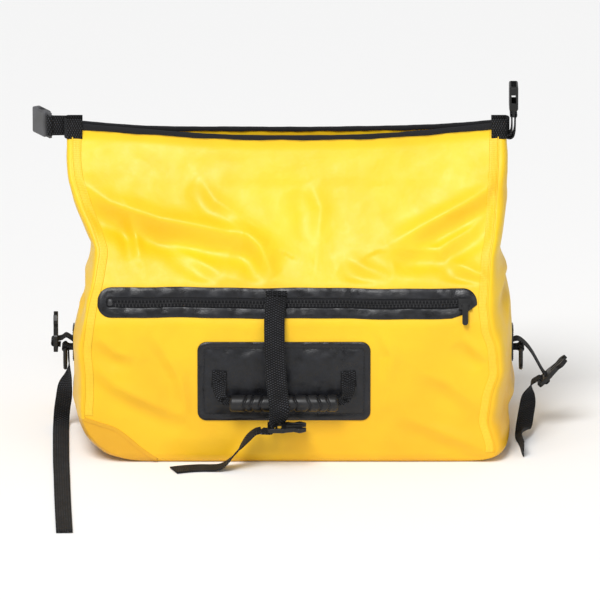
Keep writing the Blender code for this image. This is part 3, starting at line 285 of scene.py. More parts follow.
def tube_faces(base, rings, count):
    """Sides and two caps of a tube whose rings of points begin at base."""
    faces = [tuple(base + v for v in face) for face in grid_faces(rings, count, wrap=True)]
    last = base + (rings - 1) * count
    return faces + [tuple(range(base, base + count)), tuple(range(last, last + count))]


def dressed(obj, material):
    """Gives a new mesh its material and makes its faces look outward."""
    obj.data.materials.append(material)
    fix_normals(obj)
    return obj


def attach(obj, body, slot, *nodes):
    """Joins a piece to its body and slot, in place of the CAD nodes that it stands for."""
    if nodes:
        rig.replaces(obj, *nodes)
    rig.slot(obj, slot)
    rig.ride(obj, body)


def sweep(name, rings, across, along, material):
    """Closed solid through rings of points; across and along give its UVs in metres."""
    count = len(rings[0])
    verts = [p for ring in rings for p in ring]
    faces = grid_faces(len(rings), count, wrap=True)
    uvs = grid_uvs(len(rings), count, lambda i, j: (across[j % count], along[i]), wrap=True)
    last = (len(rings) - 1) * count
    faces.append(tuple(range(count))[::-1])
    uvs += [(across[j], along[0]) for j in range(count)][::-1]
    faces.append(tuple(range(last, last + count)))
    uvs += [(across[j], along[-1]) for j in range(count)]
    return dressed(mesh_object(name, verts, faces, uvs), material)


def fix_normals(obj):
    bm = bmesh.new()
    bm.from_mesh(obj.data)
    bmesh.ops.recalc_face_normals(bm, faces=bm.faces)
    bm.to_mesh(obj.data)
    bm.free()


def turn(centre, radius, start, stop, count):
    """Points (a, b) round a pin, from one angle in degrees to the other."""
    return [(centre[0] + radius * math.cos(angle), centre[1] + radius * math.sin(angle))
            for angle in np.radians(np.linspace(start, stop, count))]


def catmull(points, steps):
    """Smooth line through the points, with steps stretches between each two."""
    points = [np.array(p, float) for p in points]
    ends = [2 * points[0] - points[1]] + points + [2 * points[-1] - points[-2]]
    out = []
    for a, b, c, d in zip(ends, ends[1:], ends[2:], ends[3:]):
        for step in range(steps):
            t = step / steps
            out.append(0.5 * (2 * b + (c - a) * t + (2 * a - 5 * b + 4 * c - d) * t * t
                              + (3 * b - a - 3 * c + d) * t ** 3))
    out.append(points[-1])
    return out


STRAP_PROFILE = [(-1, 0), (-0.985, 0.75), (-0.93, 1.0), (-0.80, 0.86), (-0.4, 0.90), (0, 0.92),
                 (0.4, 0.90), (0.80, 0.86), (0.93, 1.0), (0.985, 0.75), (1, 0)]
STRAP_PROFILE += [(u, -v) for u, v in STRAP_PROFILE[-2:0:-1]]


def strap(name, path, across, width, thickness, steps=3, material=None):
    """Woven strap along a path, with a thicker edge; width may change from point to point."""
    count = len(path)
    widths = [width] * count if isinstance(width, float) else width
    thick = [thickness] * count if isinstance(thickness, float) else thickness
    sides = [across] * count if isinstance(across, tuple) else across
    rows = [list(p) + list(Vector(a).normalized()) + [w, t]
            for p, a, w, t in zip(path, sides, widths, thick)]
    line = catmull(rows, steps)
    rings, along, run = [], [], 0.0
    for i, row in enumerate(line):
        here = Vector(row[:3])
        ahead = Vector(line[min(i + 1, len(line) - 1)][:3]) - Vector(line[max(i - 1, 0)][:3])
        ahead.normalize()
        side = Vector(row[3:6])
        side = (side - ahead * side.dot(ahead)).normalized()
        up = side.cross(ahead)
        if i:
            run += (here - Vector(line[i - 1][:3])).length
        along.append(run)
        rings.append([here + side * (u * row[6] / 2) + up * (v * row[7] / 2)
                      for u, v in STRAP_PROFILE])
    across_uvs = [u * max(widths) / 2 for u, v in STRAP_PROFILE]
    obj = sweep(name, rings, across_uvs, along, material or webbing_look())
    return obj, [tuple(row[:3]) for row in line]


def rounded_loop(half_long, half_high, radius, per_corner=7, per_long=30, per_high=5):
    """Points (a, b) round a rectangle with rounded corners; the count stays the same."""
    points = []
    corners = ((1, -1, -90), (1, 1, 0), (-1, 1, 90), (-1, -1, 180))
    for index, (sx, sy, start) in enumerate(corners):
        cx, cy = sx * (half_long - radius), sy * (half_high - radius)
        arc = []
        for i in range(per_corner):
            angle = math.radians(start + 90 * i / (per_corner - 1))
            arc.append((cx + radius * math.cos(angle), cy + radius * math.sin(angle)))
        points += arc
        nx, ny, nstart = corners[(index + 1) % 4]
        goal = (nx * (half_long - radius) + radius * math.cos(math.radians(nstart)),
                ny * (half_high - radius) + radius * math.sin(math.radians(nstart)))
        between = per_high if index in (0, 2) else per_long
        for i in range(1, between + 1):
            t = i / (between + 1)
            points.append((arc[-1][0] + (goal[0] - arc[-1][0]) * t,
                           arc[-1][1] + (goal[1] - arc[-1][1]) * t))
    return points


def plate(name, place, loops, material):
    """Flat piece from nested loops of (points, height); place maps (a, b, n) to the frame."""
    verts, uvs_of = [], []
    count = len(loops[0][0])
    for points, height in loops:
        for a, b in points:
            verts.append(place(a, b, height))
            uvs_of.append((a, b))
    faces = grid_faces(len(loops), count, wrap=True)
    last = (len(loops) - 1) * count
    faces.append(tuple(range(last, last + count)))
    uvs = [uvs_of[v] for face in faces for v in face]
    return dressed(mesh_object(name, verts, faces, uvs), material)


def stitches(name, lines, length=0.0024, gap=0.0012, width=0.0007):
    """Thread stitches along lines of (point, outward) pairs, as one mesh of small beads."""
    verts, faces = [], []
    for line in lines:
        total, nodes = 0.0, [0.0]
        for (a, _), (b, _) in zip(line, line[1:]):
            total += (Vector(b) - Vector(a)).length
            nodes.append(total)
        count = max(1, int(total / (length + gap)))
        for k in range(count):
            spot = (k + 0.5) * total / count
            i = max(j for j in range(len(nodes) - 1) if nodes[j] <= spot)
            share = (spot - nodes[i]) / (nodes[i + 1] - nodes[i])
            a, b = Vector(line[i][0]), Vector(line[i + 1][0])
            centre = a.lerp(b, share)
            ahead = (b - a).normalized()
            out = Vector(line[i][1]).normalized()
            side = ahead.cross(out).normalized()
            base = len(verts)
            for along, fat in ((-0.5, 0.35), (-0.25, 1.0), (0.25, 1.0), (0.5, 0.35)):
                for turn in range(6):
                    angle = math.pi * turn / 3
                    verts.append(centre + ahead * (along * length)
                                 + side * (math.cos(angle) * fat * width / 2)
                                 + out * (math.sin(angle) * fat * width / 2))
            faces += tube_faces(base, 4, 6)
    return dressed(mesh_object(name, verts, faces), thread_look())


# ---------------------------------------------------------------- materials

def look(name):
    """A new material and its node tree."""
    material = bpy.data.materials.new(name)
    material.use_nodes = True
    return material, material.node_tree


def shader(tree, kind, **inputs):
    node = tree.nodes.new("ShaderNode" + kind)
    for key, value in inputs.items():
        target = key.replace("_", " ")
        if hasattr(value, "node"):
            tree.links.new(value, node.inputs[target])
        elif target in node.inputs:
            node.inputs[target].default_value = value
        else:
            setattr(node, key, value)
    return node


def maths(tree, operation, a, b=None):
    node = tree.nodes.new("ShaderNodeMath")
    node.operation = operation
    for socket, value in zip(node.inputs, (a, b)):
        if value is None:
            continue
        if hasattr(value, "node"):
            tree.links.new(value, socket)
        else:
            socket.default_value = value
    return node.outputs[0]


def spread(tree, value, low, high, out_low=0.0, out_high=1.0):
    node = tree.nodes.new("ShaderNodeMapRange")
    tree.links.new(value, node.inputs["Value"])
    for key, number in (("From Min", low), ("From Max", high),
                        ("To Min", out_low), ("To Max", out_high)):
        node.inputs[key].default_value = number
    return node.outputs["Result"]


def blend_colours(tree, share, first, second):
    node = tree.nodes.new("ShaderNodeMix")
    node.data_type = "RGBA"
    tree.links.new(share, node.inputs["Factor"])
    for key, value in ((6, first), (7, second)):
        if hasattr(value, "node"):
            tree.links.new(value, node.inputs[key])
        else:
            node.inputs[key].default_value = (*value, 1)
    return node.outputs[2]


def bumps(tree, *layers):
    """Chain of bump nodes from (height, distance in metres, strength) layers."""
    normal = None
    for height, distance, strength in layers:
        node = tree.nodes.new("ShaderNodeBump")
        tree.links.new(height, node.inputs["Height"])
        node.inputs["Distance"].default_value = distance
        node.inputs["Strength"].default_value = strength
        if normal is not None:
            tree.links.new(normal, node.inputs["Normal"])
        normal = node.outputs["Normal"]
    return normal


def principled(tree, colour, roughness, normal, **extra):
    node = tree.nodes["Principled BSDF"]
    for key, value in (("Base Color", colour), ("Roughness", roughness), ("Normal", normal)):
        if hasattr(value, "node"):
            tree.links.new(value, node.inputs[key])
        elif key == "Base Color":
            node.inputs[key].default_value = (*value, 1)
        elif value is not None:
            node.inputs[key].default_value = value
    for key, value in extra.items():
        node.inputs[key.replace("_", " ")].default_value = value


def noise_of(tree, scale, detail=4.0, roughness=0.55, coords=None):
    coords = coords or tree.nodes.new("ShaderNodeTexCoord").outputs["Object"]
    return shader(tree, "TexNoise", Vector=coords, Scale=scale, Detail=detail,
                  Roughness=roughness).outputs["Fac"]


def uv_metres(tree):
    """Sockets of the two UV values, which are metres across and along a piece."""
    uv = tree.nodes.new("ShaderNodeTexCoord").outputs["UV"]
    split = shader(tree, "SeparateXYZ", Vector=uv)
    return split.outputs[0], split.outputs[1]


def wave(tree, value, pitch):
    return maths(tree, "SINE", maths(tree, "MULTIPLY", value, 2 * math.pi / pitch))


@cache
def floor_look():
    material, tree = look("floor_paper")
    grain = noise_of(tree, 900.0)
    principled(tree, (0.93, 0.93, 0.93), 0.85, bumps(tree, (grain, 0.0001, 0.2)))
    return material


@cache
def fabric_look(tone):
    """Coated tarpaulin: satin film over a fine scrim, with crumple facets and faint creases; except on welds, painted
    shade darkens the colour towards the bottom.
    """
    pale, deep = {"yellow": ((0.90, 0.595, 0.010), (0.83, 0.42, 0.006)),
                  "base": ((0.76, 0.41, 0.012), (0.68, 0.34, 0.010)),
                  "weld": ((0.91, 0.61, 0.030), (0.86, 0.50, 0.012))}[tone]
    material, tree = look("fabric_" + tone)
    coords = tree.nodes.new("ShaderNodeTexCoord").outputs["Object"]
    broad = noise_of(tree, 9.0, 3.0, coords=coords)
    fine = noise_of(tree, 70.0, 6.0, 0.6, coords)
    speck = noise_of(tree, 900.0, 2.0, coords=coords)
    crumple = shader(tree, "TexVoronoi", Vector=coords, Scale=38.0)
    crumple.feature = "SMOOTH_F1"
    crumple.inputs["Smoothness"].default_value = 0.35
    across, along = uv_metres(tree)
    scrim = maths(tree, "MULTIPLY", wave(tree, across, 0.0011), wave(tree, along, 0.0011))
    layers = [(fine, 0.0011, 0.42), (crumple.outputs["Distance"], 0.0016, 0.22),
              (scrim, 0.00006, 0.5), (speck, 0.00012, 0.3)]
    # painted shade: the colour darkens towards the bottom of the bag, where light from above leaves it in shade; the
    # broad noise adds random tone
    height = shader(tree, "SeparateXYZ", Vector=coords).outputs[2]
    share = maths(tree, "ADD", spread(tree, broad, 0.35, 0.7, 0.0, 0.45),
                  spread(tree, height, 0.0, 0.26, 0.55, 0.0))
    if tone == "weld":
        rising = wave(tree, maths(tree, "ADD", across, along), 0.0034)
        falling = wave(tree, maths(tree, "SUBTRACT", across, along), 0.0034)
        knurl = maths(tree, "MULTIPLY", rising, falling)
        layers.append((knurl, 0.0003, 0.6))
        share = spread(tree, knurl, -0.6, 0.5, 1.0, 0.0)
    colour = blend_colours(tree, share, pale, deep)
    rough = spread(tree, fine, 0.3, 0.7, 0.40, 0.56)
    principled(tree, colour, rough, bumps(tree, *layers), Specular_IOR_Level=0.42,
               Coat_Weight=0.08, Coat_Roughness=0.3)
    return material


@cache
def webbing_look(tone=0.012):
    """Woven strap: a chevron of yarns with fuzz, from UVs in metres."""
    material, tree = look("webbing_%03d" % int(tone * 1000))
    across, along = uv_metres(tree)
    slant = maths(tree, "MULTIPLY", maths(tree, "ABSOLUTE", across), 0.14)
    picks = wave(tree, maths(tree, "ADD", along, slant), 0.0030)
    weave = maths(tree, "MULTIPLY", picks, wave(tree, across, 0.0056))
    fuzz = noise_of(tree, 1500.0, 3.0)
    wear = noise_of(tree, 60.0, 3.0)
    light = maths(tree, "MULTIPLY", spread(tree, weave, 0.10, 0.75),
                  spread(tree, wear, 0.3, 0.7, 0.35, 1.0))
    colour = blend_colours(tree, light, (tone * 0.35,) * 3, (tone * 5.0, tone * 5.2, tone * 6.0))
    principled(tree, colour, spread(tree, fuzz, 0.3, 0.7, 0.62, 0.85),
               bumps(tree, (weave, 0.0006, 0.8), (fuzz, 0.0002, 0.4)), Specular_IOR_Level=0.15,
               Sheen_Weight=0.03)
    return material


@cache
def tape_look():
    """Fine woven binding and zip tape."""
    material, tree = look("tape_woven")
    across, along = uv_metres(tree)
    weave = maths(tree, "MULTIPLY", wave(tree, along, 0.0024), wave(tree, across, 0.0016))
    fuzz = noise_of(tree, 900.0)
    colour = blend_colours(tree, spread(tree, weave, -0.8, 0.9), (0.006, 0.006, 0.007),
                           (0.024, 0.024, 0.027))
    principled(tree, colour, spread(tree, fuzz, 0.3, 0.7, 0.6, 0.8),
               bumps(tree, (weave, 0.0003, 0.6), (fuzz, 0.0001, 0.4)), Specular_IOR_Level=0.15,
               Sheen_Weight=0.04)
    return material


@cache
def laminate_look():
    """Black coated laminate: satin, mottled, with a pebbled grain; the mottle's lighter, bluer patches are painted
    sheen over random tone.
    """
    material, tree = look("laminate_black")
    mottle = noise_of(tree, 110.0, 5.0, 0.65)
    pebble = noise_of(tree, 620.0, 3.0)
    broad = noise_of(tree, 26.0, 2.0)
    # painted sheen: the mottle's light end is tinted blue-grey like the film's sheen; the mottle is also random tone
    colour = blend_colours(tree, spread(tree, mottle, 0.35, 0.7), (0.005, 0.005, 0.006),
                           (0.011, 0.012, 0.016))
    rough = spread(tree, maths(tree, "ADD", mottle, broad), 0.7, 1.3, 0.24, 0.50)
    principled(tree, colour, rough,
               bumps(tree, (broad, 0.010, 0.7), (mottle, 0.0010, 0.25), (pebble, 0.0004, 0.6)),
               Specular_IOR_Level=0.40)
    return material


@cache
def plastic_look(tone, gloss):
    """Moulded acetal: fine spark-eroded grain, slightly worn and polished in places."""
    material, tree = look("plastic_%02d_%02d" % (int(tone * 500), int(gloss * 100)))
    grain = noise_of(tree, 1400.0, 3.0)
    wear = noise_of(tree, 45.0, 4.0)
    colour = blend_colours(tree, spread(tree, wear, 0.35, 0.7), (tone * 0.8,) * 3,
                           (tone * 1.25, tone * 1.25, tone * 1.35))
    principled(tree, colour, spread(tree, wear, 0.3, 0.7, gloss - 0.07, gloss + 0.07),
               bumps(tree, (grain, 0.00012, 0.5), (wear, 0.0004, 0.15)), Specular_IOR_Level=0.32)
    return material


@cache
def thread_look():
    material, tree = look("thread_black")
    twist = noise_of(tree, 2500.0, 2.0)
    colour = blend_colours(tree, twist, (0.010, 0.010, 0.011), (0.055, 0.055, 0.060))
    principled(tree, colour, 0.6, bumps(tree, (twist, 0.0001, 0.5)), Specular_IOR_Level=0.2)
    return material


# ---------------------------------------------------------------- the bag's surface

TOP = 0.385
SHIFT = [(0, 0), (0.25, 0), (0.33, -0.00375), (0.35, -0.0075), (0.385, -0.0075)]
DEPTH = [(0, 0.1255), (0.003, 0.1300), (0.010, 0.1325), (0.030, 0.1325), (0.045, 0.131), (0.1735, 0.126),
         (0.2205, 0.108), (0.2505, 0.088), (0.290, 0.061), (0.330, 0.038), (0.350, 0.0228),
         (0.370, 0.0085), (0.378, 0.0075), (0.385, 0.0075)]
LENS = [(0, 0), (0.325, 0), (0.350, 0.00575), (0.370, 0.0112), (0.385, 0.0115)]
SEAM_LEFT = [(0, -0.178), (0.002, -0.192), (0.0096, -0.2155), (0.0223, -0.235),
             (0.035, -0.246), (0.050, -0.2535), (0.066, -0.255), (0.082, -0.2535),
             (0.111, -0.2535), (0.14, -0.2565), (0.17, -0.253), (0.194, -0.249),
             (0.224, -0.241), (0.255, -0.2355), (0.281, -0.2445), (0.299, -0.2540),
             (0.331, -0.2665), (0.350, -0.2695), (0.385, -0.2690)]
SEAM_RIGHT = [(0, 0.205), (0.0007, 0.2215), (0.006, 0.240), (0.016, 0.247), (0.03, 0.2435),
              (0.051, 0.2365), (0.087, 0.2415), (0.111, 0.250), (0.147, 0.247), (0.163, 0.240),
              (0.196, 0.236), (0.25, 0.240), (0.275, 0.245), (0.306, 0.247), (0.351, 0.2505),
              (0.385, 0.2505)]
END_LEFT = [(0, -0.215), (0.0071, -0.2490), (0.0236, -0.2585), (0.050, -0.2665),
            (0.080, -0.2677), (0.137, -0.2677), (0.163, -0.2590), (0.192, -0.2520),
            (0.2134, -0.2480), (0.240, -0.2462), (0.254, -0.2450), (0.267, -0.2518),
            (0.291, -0.2600), (0.320, -0.2676), (0.349, -0.2745), (0.372, -0.2755),
            (0.385, -0.2755)]
END_RIGHT = [(0, 0.235), (0.0109, 0.2625), (0.03, 0.2668), (0.06, 0.2677), (0.137, 0.2677),
             (0.165, 0.2663), (0.197, 0.2603), (0.224, 0.2545), (0.243, 0.2520),
             (0.260, 0.2542), (0.301, 0.2595), (0.344, 0.2603), (0.385, 0.2603)]
SEAM_BACK = [(0, 0.190), (0.012, 0.232), (0.045, 0.250), (0.1735, 0.245), (0.2505, 0.231),
             (0.290, 0.233), (0.330, 0.246), (0.350, 0.2535), (0.372, 0.258), (0.385, 0.258)]


def profile(rows, z, window):
    """A table's value at heights z, averaged over a window so that its bends are soft."""
    rows = np.array(rows)
    total = 0.0
    for offset, weight in ((-1, 0.1), (-0.5, 0.25), (0, 0.3), (0.5, 0.25), (1, 0.1)):
        where = np.clip(z + offset * window * np.minimum(1, z / 0.02 + 0.05), 0, TOP)
        total = total + weight * np.interp(where, rows[:, 0], rows[:, 1])
    return total


def ease(t):
    t = np.clip(t, 0, 1)
    return t * t * (3 - 2 * t)


def top_rise(x):
    """How far the mouth's edge stands above its middle: it sags between the stiff ends."""
    share = np.clip(np.abs(x) / 0.262, 0, 1.05)
    return -0.0040 + 0.0115 * share ** 2.4 + 0.0030 * np.clip(x / 0.262, 0, 1) ** 2


def mouth_gape(u):
    """The mouth stands open to the right and lies shut near its left end."""
    return ease((u + 0.78) / 0.62) * ease((1 - u) / 0.75) * 1.05


def base_point(side, u, z):
    """Smooth surface of the bag: u runs from -1 to 1 across a side, left to right or front to back."""
    depth = profile(DEPTH, z, 0.005)
    shift = profile(SHIFT, z, 0.008)
    if side in ("front", "back"):
        if side == "front":
            low, high = profile(SEAM_LEFT, z, 0.007), profile(SEAM_RIGHT, z, 0.007)
        else:
            half = profile(SEAM_BACK, z, 0.010)
            low, high = shift - half, shift + half
        x = (low + high) / 2 + u * (high - low) / 2
        y = depth + profile(LENS, z, 0.006) * mouth_gape(u)
        y = -y if side == "front" else y
    else:
        sign = 1 if side == "right" else -1
        front = profile(SEAM_RIGHT if sign > 0 else SEAM_LEFT, z, 0.007)
        back = shift + sign * profile(SEAM_BACK, z, 0.010)
        edge = profile(END_RIGHT if sign > 0 else END_LEFT, z, 0.006)
        lean = np.sin(u * math.pi / 2)
        bow = np.clip(np.cos(u * math.pi / 2), 0, 1) ** 0.85
        x = front + (back - front) * (1 + lean) / 2 + (edge - (front + back) / 2) * bow
        y = depth * lean
    height = z + top_rise(x) * ease((z - 0.335) / 0.045)
    return np.stack([x, y, height], axis=-1)


FOLDS = [  # front: (x, z) points from left to right, width, ridge, trough below it
    ([(-0.264, 0.332), (-0.222, 0.305), (-0.161, 0.286), (-0.105, 0.277), (-0.058, 0.271),
      (-0.026, 0.258)], 0.0120, 0.0100, 0.0105),
    ([(-0.062, 0.274), (-0.040, 0.256), (-0.022, 0.226)], 0.0105, 0.0065, 0.0040),
    ([(-0.200, 0.292), (-0.191, 0.272), (-0.185, 0.246)], 0.0070, 0.0045, 0.0040),
    ([(-0.150, 0.262), (-0.115, 0.247), (-0.085, 0.230)], 0.0080, 0.0030, 0.0030),
    ([(0.111, 0.258), (0.166, 0.283), (0.208, 0.303), (0.262, 0.334)], 0.0115, 0.0090, 0.0080),
    ([(0.118, 0.254), (0.178, 0.259), (0.214, 0.278), (0.243, 0.300)], 0.0090, 0.0060, 0.0055),
    ([(0.186, 0.247), (0.222, 0.231), (0.250, 0.222)], 0.0080, 0.0040, 0.0040),
    ([(0.020, 0.330), (0.034, 0.300), (0.030, 0.262)], 0.0110, 0.0030, 0.0020),
    ([(-0.115, 0.335), (-0.095, 0.308), (-0.062, 0.290)], 0.0090, 0.0030, 0.0025),
    ([(0.060, 0.250), (0.090, 0.236), (0.120, 0.228)], 0.0080, 0.0025, 0.0025),
    ([(-0.246, 0.127), (-0.215, 0.098), (-0.170, 0.075), (-0.125, 0.057)], 0.0100, 0.0035, 0.0030),
    ([(-0.173, 0.167), (-0.155, 0.140), (-0.137, 0.108), (-0.128, 0.061)], 0.0085, 0.0030, 0.0025),
    ([(-0.238, 0.160), (-0.215, 0.140), (-0.190, 0.132)], 0.0080, 0.0020, 0.0025),
    ([(0.104, 0.168), (0.121, 0.135), (0.117, 0.100)], 0.0090, 0.0025, 0.0020),
    ([(0.205, 0.160), (0.238, 0.128)], 0.0085, 0.0030, 0.0030),
    ([(0.130, 0.060), (0.180, 0.040), (0.245, 0.012)], 0.0100, 0.0030, 0.0025),
    ([(0.150, 0.118), (0.190, 0.100), (0.225, 0.070)], 0.0100, 0.0022, 0.0022),
]
BACK_FOLDS = [
    ([(-0.235, 0.320), (-0.160, 0.286), (-0.080, 0.272), (-0.010, 0.262)], 0.0110, 0.0065, 0.0055),
    ([(0.050, 0.256), (0.130, 0.276), (0.235, 0.318)], 0.0110, 0.0060, 0.0050),
    ([(-0.210, 0.180), (-0.150, 0.120), (-0.120, 0.060)], 0.0110, 0.0035, 0.0030),
    ([(0.090, 0.170), (0.150, 0.120), (0.220, 0.095)], 0.0110, 0.0035, 0.0030),
    ([(-0.120, 0.225), (-0.060, 0.240), (0.000, 0.232)], 0.0090, 0.0030, 0.0025),
]
END_FOLDS = [  # (y, z) on an end wall
    ([(-0.110, 0.200), (-0.050, 0.215), (0.060, 0.205)], 0.0110, 0.0040, 0.0040),
    ([(-0.090, 0.150), (-0.060, 0.175), (0.010, 0.190)], 0.0100, 0.0035, 0.0030),
    ([(-0.070, 0.060), (-0.010, 0.052), (0.080, 0.070)], 0.0100, 0.0030, 0.0030),
    ([(0.020, 0.260), (0.000, 0.290), (0.010, 0.320)], 0.0080, 0.0030, 0.0030),
]


def fold(a, b, points, width, ridge, trough):
    """Height of one crease: a ridge along the points with a trough on its lower side."""
    points = np.array(points)
    steps = np.diff(points, axis=0)
    lengths = np.hypot(steps[:, 0], steps[:, 1])
    total = lengths.sum()
    nearest = np.full(a.shape, 1e9)
    signed = np.zeros(a.shape)
    run = np.zeros(a.shape)
    before = 0.0
    for start, step, length in zip(points, steps, lengths):
        t = np.clip(((a - start[0]) * step[0] + (b - start[1]) * step[1]) / length ** 2, 0, 1)
        da, db = a - start[0] - t * step[0], b - start[1] - t * step[1]
        away = np.hypot(da, db)
        closer = away < nearest
        side = np.sign(db * step[0] - da * step[1])
        nearest = np.where(closer, away, nearest)
        signed = np.where(closer, away * side, signed)
        run = np.where(closer, (before + t * length) / total, run)
        before += length
    taper = np.sin(math.pi * np.clip(run, 0.02, 0.98)) ** 0.7
    crest = np.exp(-(np.abs(signed) / width) ** 1.5)
    dip = np.exp(-((signed + 1.7 * width) / (1.15 * width)) ** 2)
    return 1.3 * taper * (ridge * crest - trough * dip)


def keep_flat(a, b, low_a, high_a, low_b, high_b, margin=0.012):
    """0 inside a rectangle and 1 beyond its margin."""
    out = np.hypot(np.maximum(0, np.maximum(low_a - a, a - high_a)),
                   np.maximum(0, np.maximum(low_b - b, b - high_b)))
    return ease(out / margin)


def sampled_noise(points, scale, seed):
    flat = points.reshape(-1, 3) * scale + seed
    values = np.array([noise.noise(Vector(p)) for p in flat])
    return values.reshape(points.shape[:-1])


def crumple(side, u, z, points):
    """Displacement along the normal: creases, slack and small waves."""
    x, y, height = points[..., 0], points[..., 1], points[..., 2]
    slack = 0.35 + 0.65 * ease((z - 0.20) / 0.05) * (1 - ease((z - 0.345) / 0.02))
    wave = 0.0026 * sampled_noise(points, 10.0, 3.1) + 0.0007 * sampled_noise(points, 34.0, 7.7)
    crease = 0.0010 * (0.25 - np.abs(sampled_noise(points, 26.0, 11.3)))
    move = (wave + crease) * slack
    if side in ("front", "back"):
        for row in (FOLDS if side == "front" else BACK_FOLDS):
            move = move + fold(x, height, *row)
        move = move * ease((1 - np.abs(u)) / 0.05 + 0.12)
    else:
        for row in END_FOLDS:
            move = move + fold(y, height, *row)
        move = move * ease((1 - np.abs(u)) / 0.25 + 0.10)
    move = move * (1 - ease((z - 0.352) / 0.02)) * ease(z / 0.008)
    if side == "front":
        move = move * keep_flat(x, z, -0.240, 0.226, 0.1775, 0.2165, 0.011)
        move = move * keep_flat(x, z, -0.117, 0.095, 0.055, 0.153, 0.014)
    elif side == "back":
        move = move * keep_flat(x, z, 0.0, 0.032, 0.12, 0.212, 0.02)
    else:
        move = move * keep_flat(y, z, -0.017, 0.017, 0.090, 0.136, 0.012)
    return move


def skin_points(side, u, z, lift=0.0):
    """Points of the creased surface, lifted along its normal."""
    u, z = np.broadcast_arrays(np.asarray(u, float), np.asarray(z, float))
    points = base_point(side, u, z)
    along = base_point(side, u + 2e-3, z) - base_point(side, u - 2e-3, z)
    up = base_point(side, u, np.minimum(z + 1e-3, TOP)) - base_point(side, u, np.maximum(z - 1e-3, 0))
    normal = np.cross(along, up)
    normal /= np.maximum(np.linalg.norm(normal, axis=-1, keepdims=True), 1e-9)
    if side in ("back", "left"):
        normal = -normal
    shift = crumple(side, u, z, points) + lift
    return points + normal * shift[..., None]


def bend_over(obj):
    """The bag's own fabric bends where the collar is folded down."""
    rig.blend(obj, "bag", "collar", (0, 0, 0.300), (0, 0, 0.350))


def make_skin():
    """One continuous shell: front, right end, back and left end, closed by the base."""
    heights = np.concatenate([np.linspace(0, 0.012, 7)[:-1], np.linspace(0.012, 0.20, 84)[:-1],
                              np.linspace(0.20, TOP, 96)])
    front_u = np.linspace(-1, 1, 241)
    end_u = np.linspace(-1, 1, 57)
    back_u = np.linspace(1, -1, 161)
    grid = []
    for side, us in (("front", front_u), ("right", end_u), ("back", back_u),
                     ("left", end_u[::-1])):
        grid.append(skin_points(side, us[None, :-1], heights[:, None]))
    rings = np.concatenate(grid, axis=1)
    rows, columns = rings.shape[:2]
    step = np.linalg.norm(np.roll(rings, -1, axis=1) - rings, axis=2)
    across = np.concatenate([np.zeros((rows, 1)), np.cumsum(step, axis=1)], axis=1)
    verts = list(rings.reshape(-1, 3))
    faces = grid_faces(rows, columns, wrap=True)
    uvs = grid_uvs(rows, columns, lambda i, j: (across[0, j], heights[i]), wrap=True)
    previous = list(range(columns))
    for share in (0.93, 0.75, 0.45, 0.15):
        start = len(verts)
        verts += [np.array((p[0] * (0.65 + 0.35 * share), p[1] * share, 0.0)) for p in rings[0]]
        ring = list(range(start, start + columns))
        for j in range(columns):
            k = (j + 1) % columns
            faces.append((previous[k], previous[j], ring[j], ring[k]))
            uvs += [tuple(verts[v][:2]) for v in faces[-1]]
        previous = ring
    faces.append(tuple(previous[::-1]))
    uvs += [tuple(verts[v][:2]) for v in faces[-1]]
    skin = mesh_object("bag_skin", verts, faces, uvs)
    skin.data.materials.append(fabric_look("yellow"))
    skin.data.materials.append(fabric_look("base"))
    corner = np.array(BASE_CORNER)
    for polygon in skin.data.polygons:
        x, _, z = polygon.center
        limit = np.interp(x, corner[:, 0], corner[:, 1], left=0.056, right=-1)
        if z < limit or z < 0.0004:
            polygon.material_index = 1
    shell = skin.modifiers.new("thickness", "SOLIDIFY")
    shell.thickness = 0.0013
    shell.offset = -1
    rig.replaces(skin, "front_panel", "back_panel", "base_panel", "left_end_panel",
                "right_end_panel", "front_collar", "back_collar", "left_gusset", "right_gusset")
    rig.slot(skin, "shell_fabric")
    bend_over(skin)


BASE_CORNER = [(-0.256, 0.0560), (-0.236, 0.0490), (-0.217, 0.0425), (-0.201, 0.0310),
               (-0.185, 0.0170), (-0.165, 0.0030)]


def skin_strip(name, side, inner, outer, heights, lift, tone):
    """Thin welded strip that follows the surface between two edges given as u(z)."""
    shares = np.array([0.0, 0.0, 0.08, 0.3, 0.5, 0.7, 0.92, 1.0, 1.0])
    lifts = np.array([0.0, 0.6, 1.0, 1.0, 1.0, 1.0, 1.0, 0.6, 0.0]) * lift
    z = np.repeat(heights[:, None], len(shares), axis=1)
    u = inner(heights)[:, None] + (outer(heights) - inner(heights))[:, None] * shares[None, :]
    points = skin_points(side, u, z, np.repeat(lifts[None, :], len(heights), axis=0))
    verts = list(points.reshape(-1, 3))
    faces = grid_faces(len(heights), len(shares))
    width = np.linalg.norm(points[:, -1] - points[:, 0], axis=1)
    uvs = grid_uvs(len(heights), len(shares), lambda i, j: (shares[j] * width[i], heights[i]))
    obj = dressed(mesh_object(name, verts, faces, uvs), fabric_look(tone))
    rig.slot(obj, "shell_fabric")
    bend_over(obj)


def half_length(side, z):
    """Half the length of the front or the back between its end seams."""
    if side == "back":
        return profile(SEAM_BACK, z, 0.010)
    return (profile(SEAM_RIGHT, z, 0.007) - profile(SEAM_LEFT, z, 0.007)) / 2


def make_seams():
    """Knurled welds beside the end seams, front and back, and the rolled edge they leave."""
    runs = {"left": np.linspace(0.060, 0.3795, 200), "right": np.linspace(0.014, 0.3795, 230)}
    for side in ("front", "back"):
        for name, sign in (("left", -1), ("right", 1)):
            def inset(distance):
                return lambda z: sign * (1 - distance / half_length(side, z))
            skin_strip(f"{side}_{name}_weld", side, inset(0.0012), inset(0.0115), runs[name],
                       0.0007, "weld")
            skin_strip(f"{side}_{name}_bead", side, inset(0.0), inset(0.0014), runs[name],
                       0.0013, "yellow")


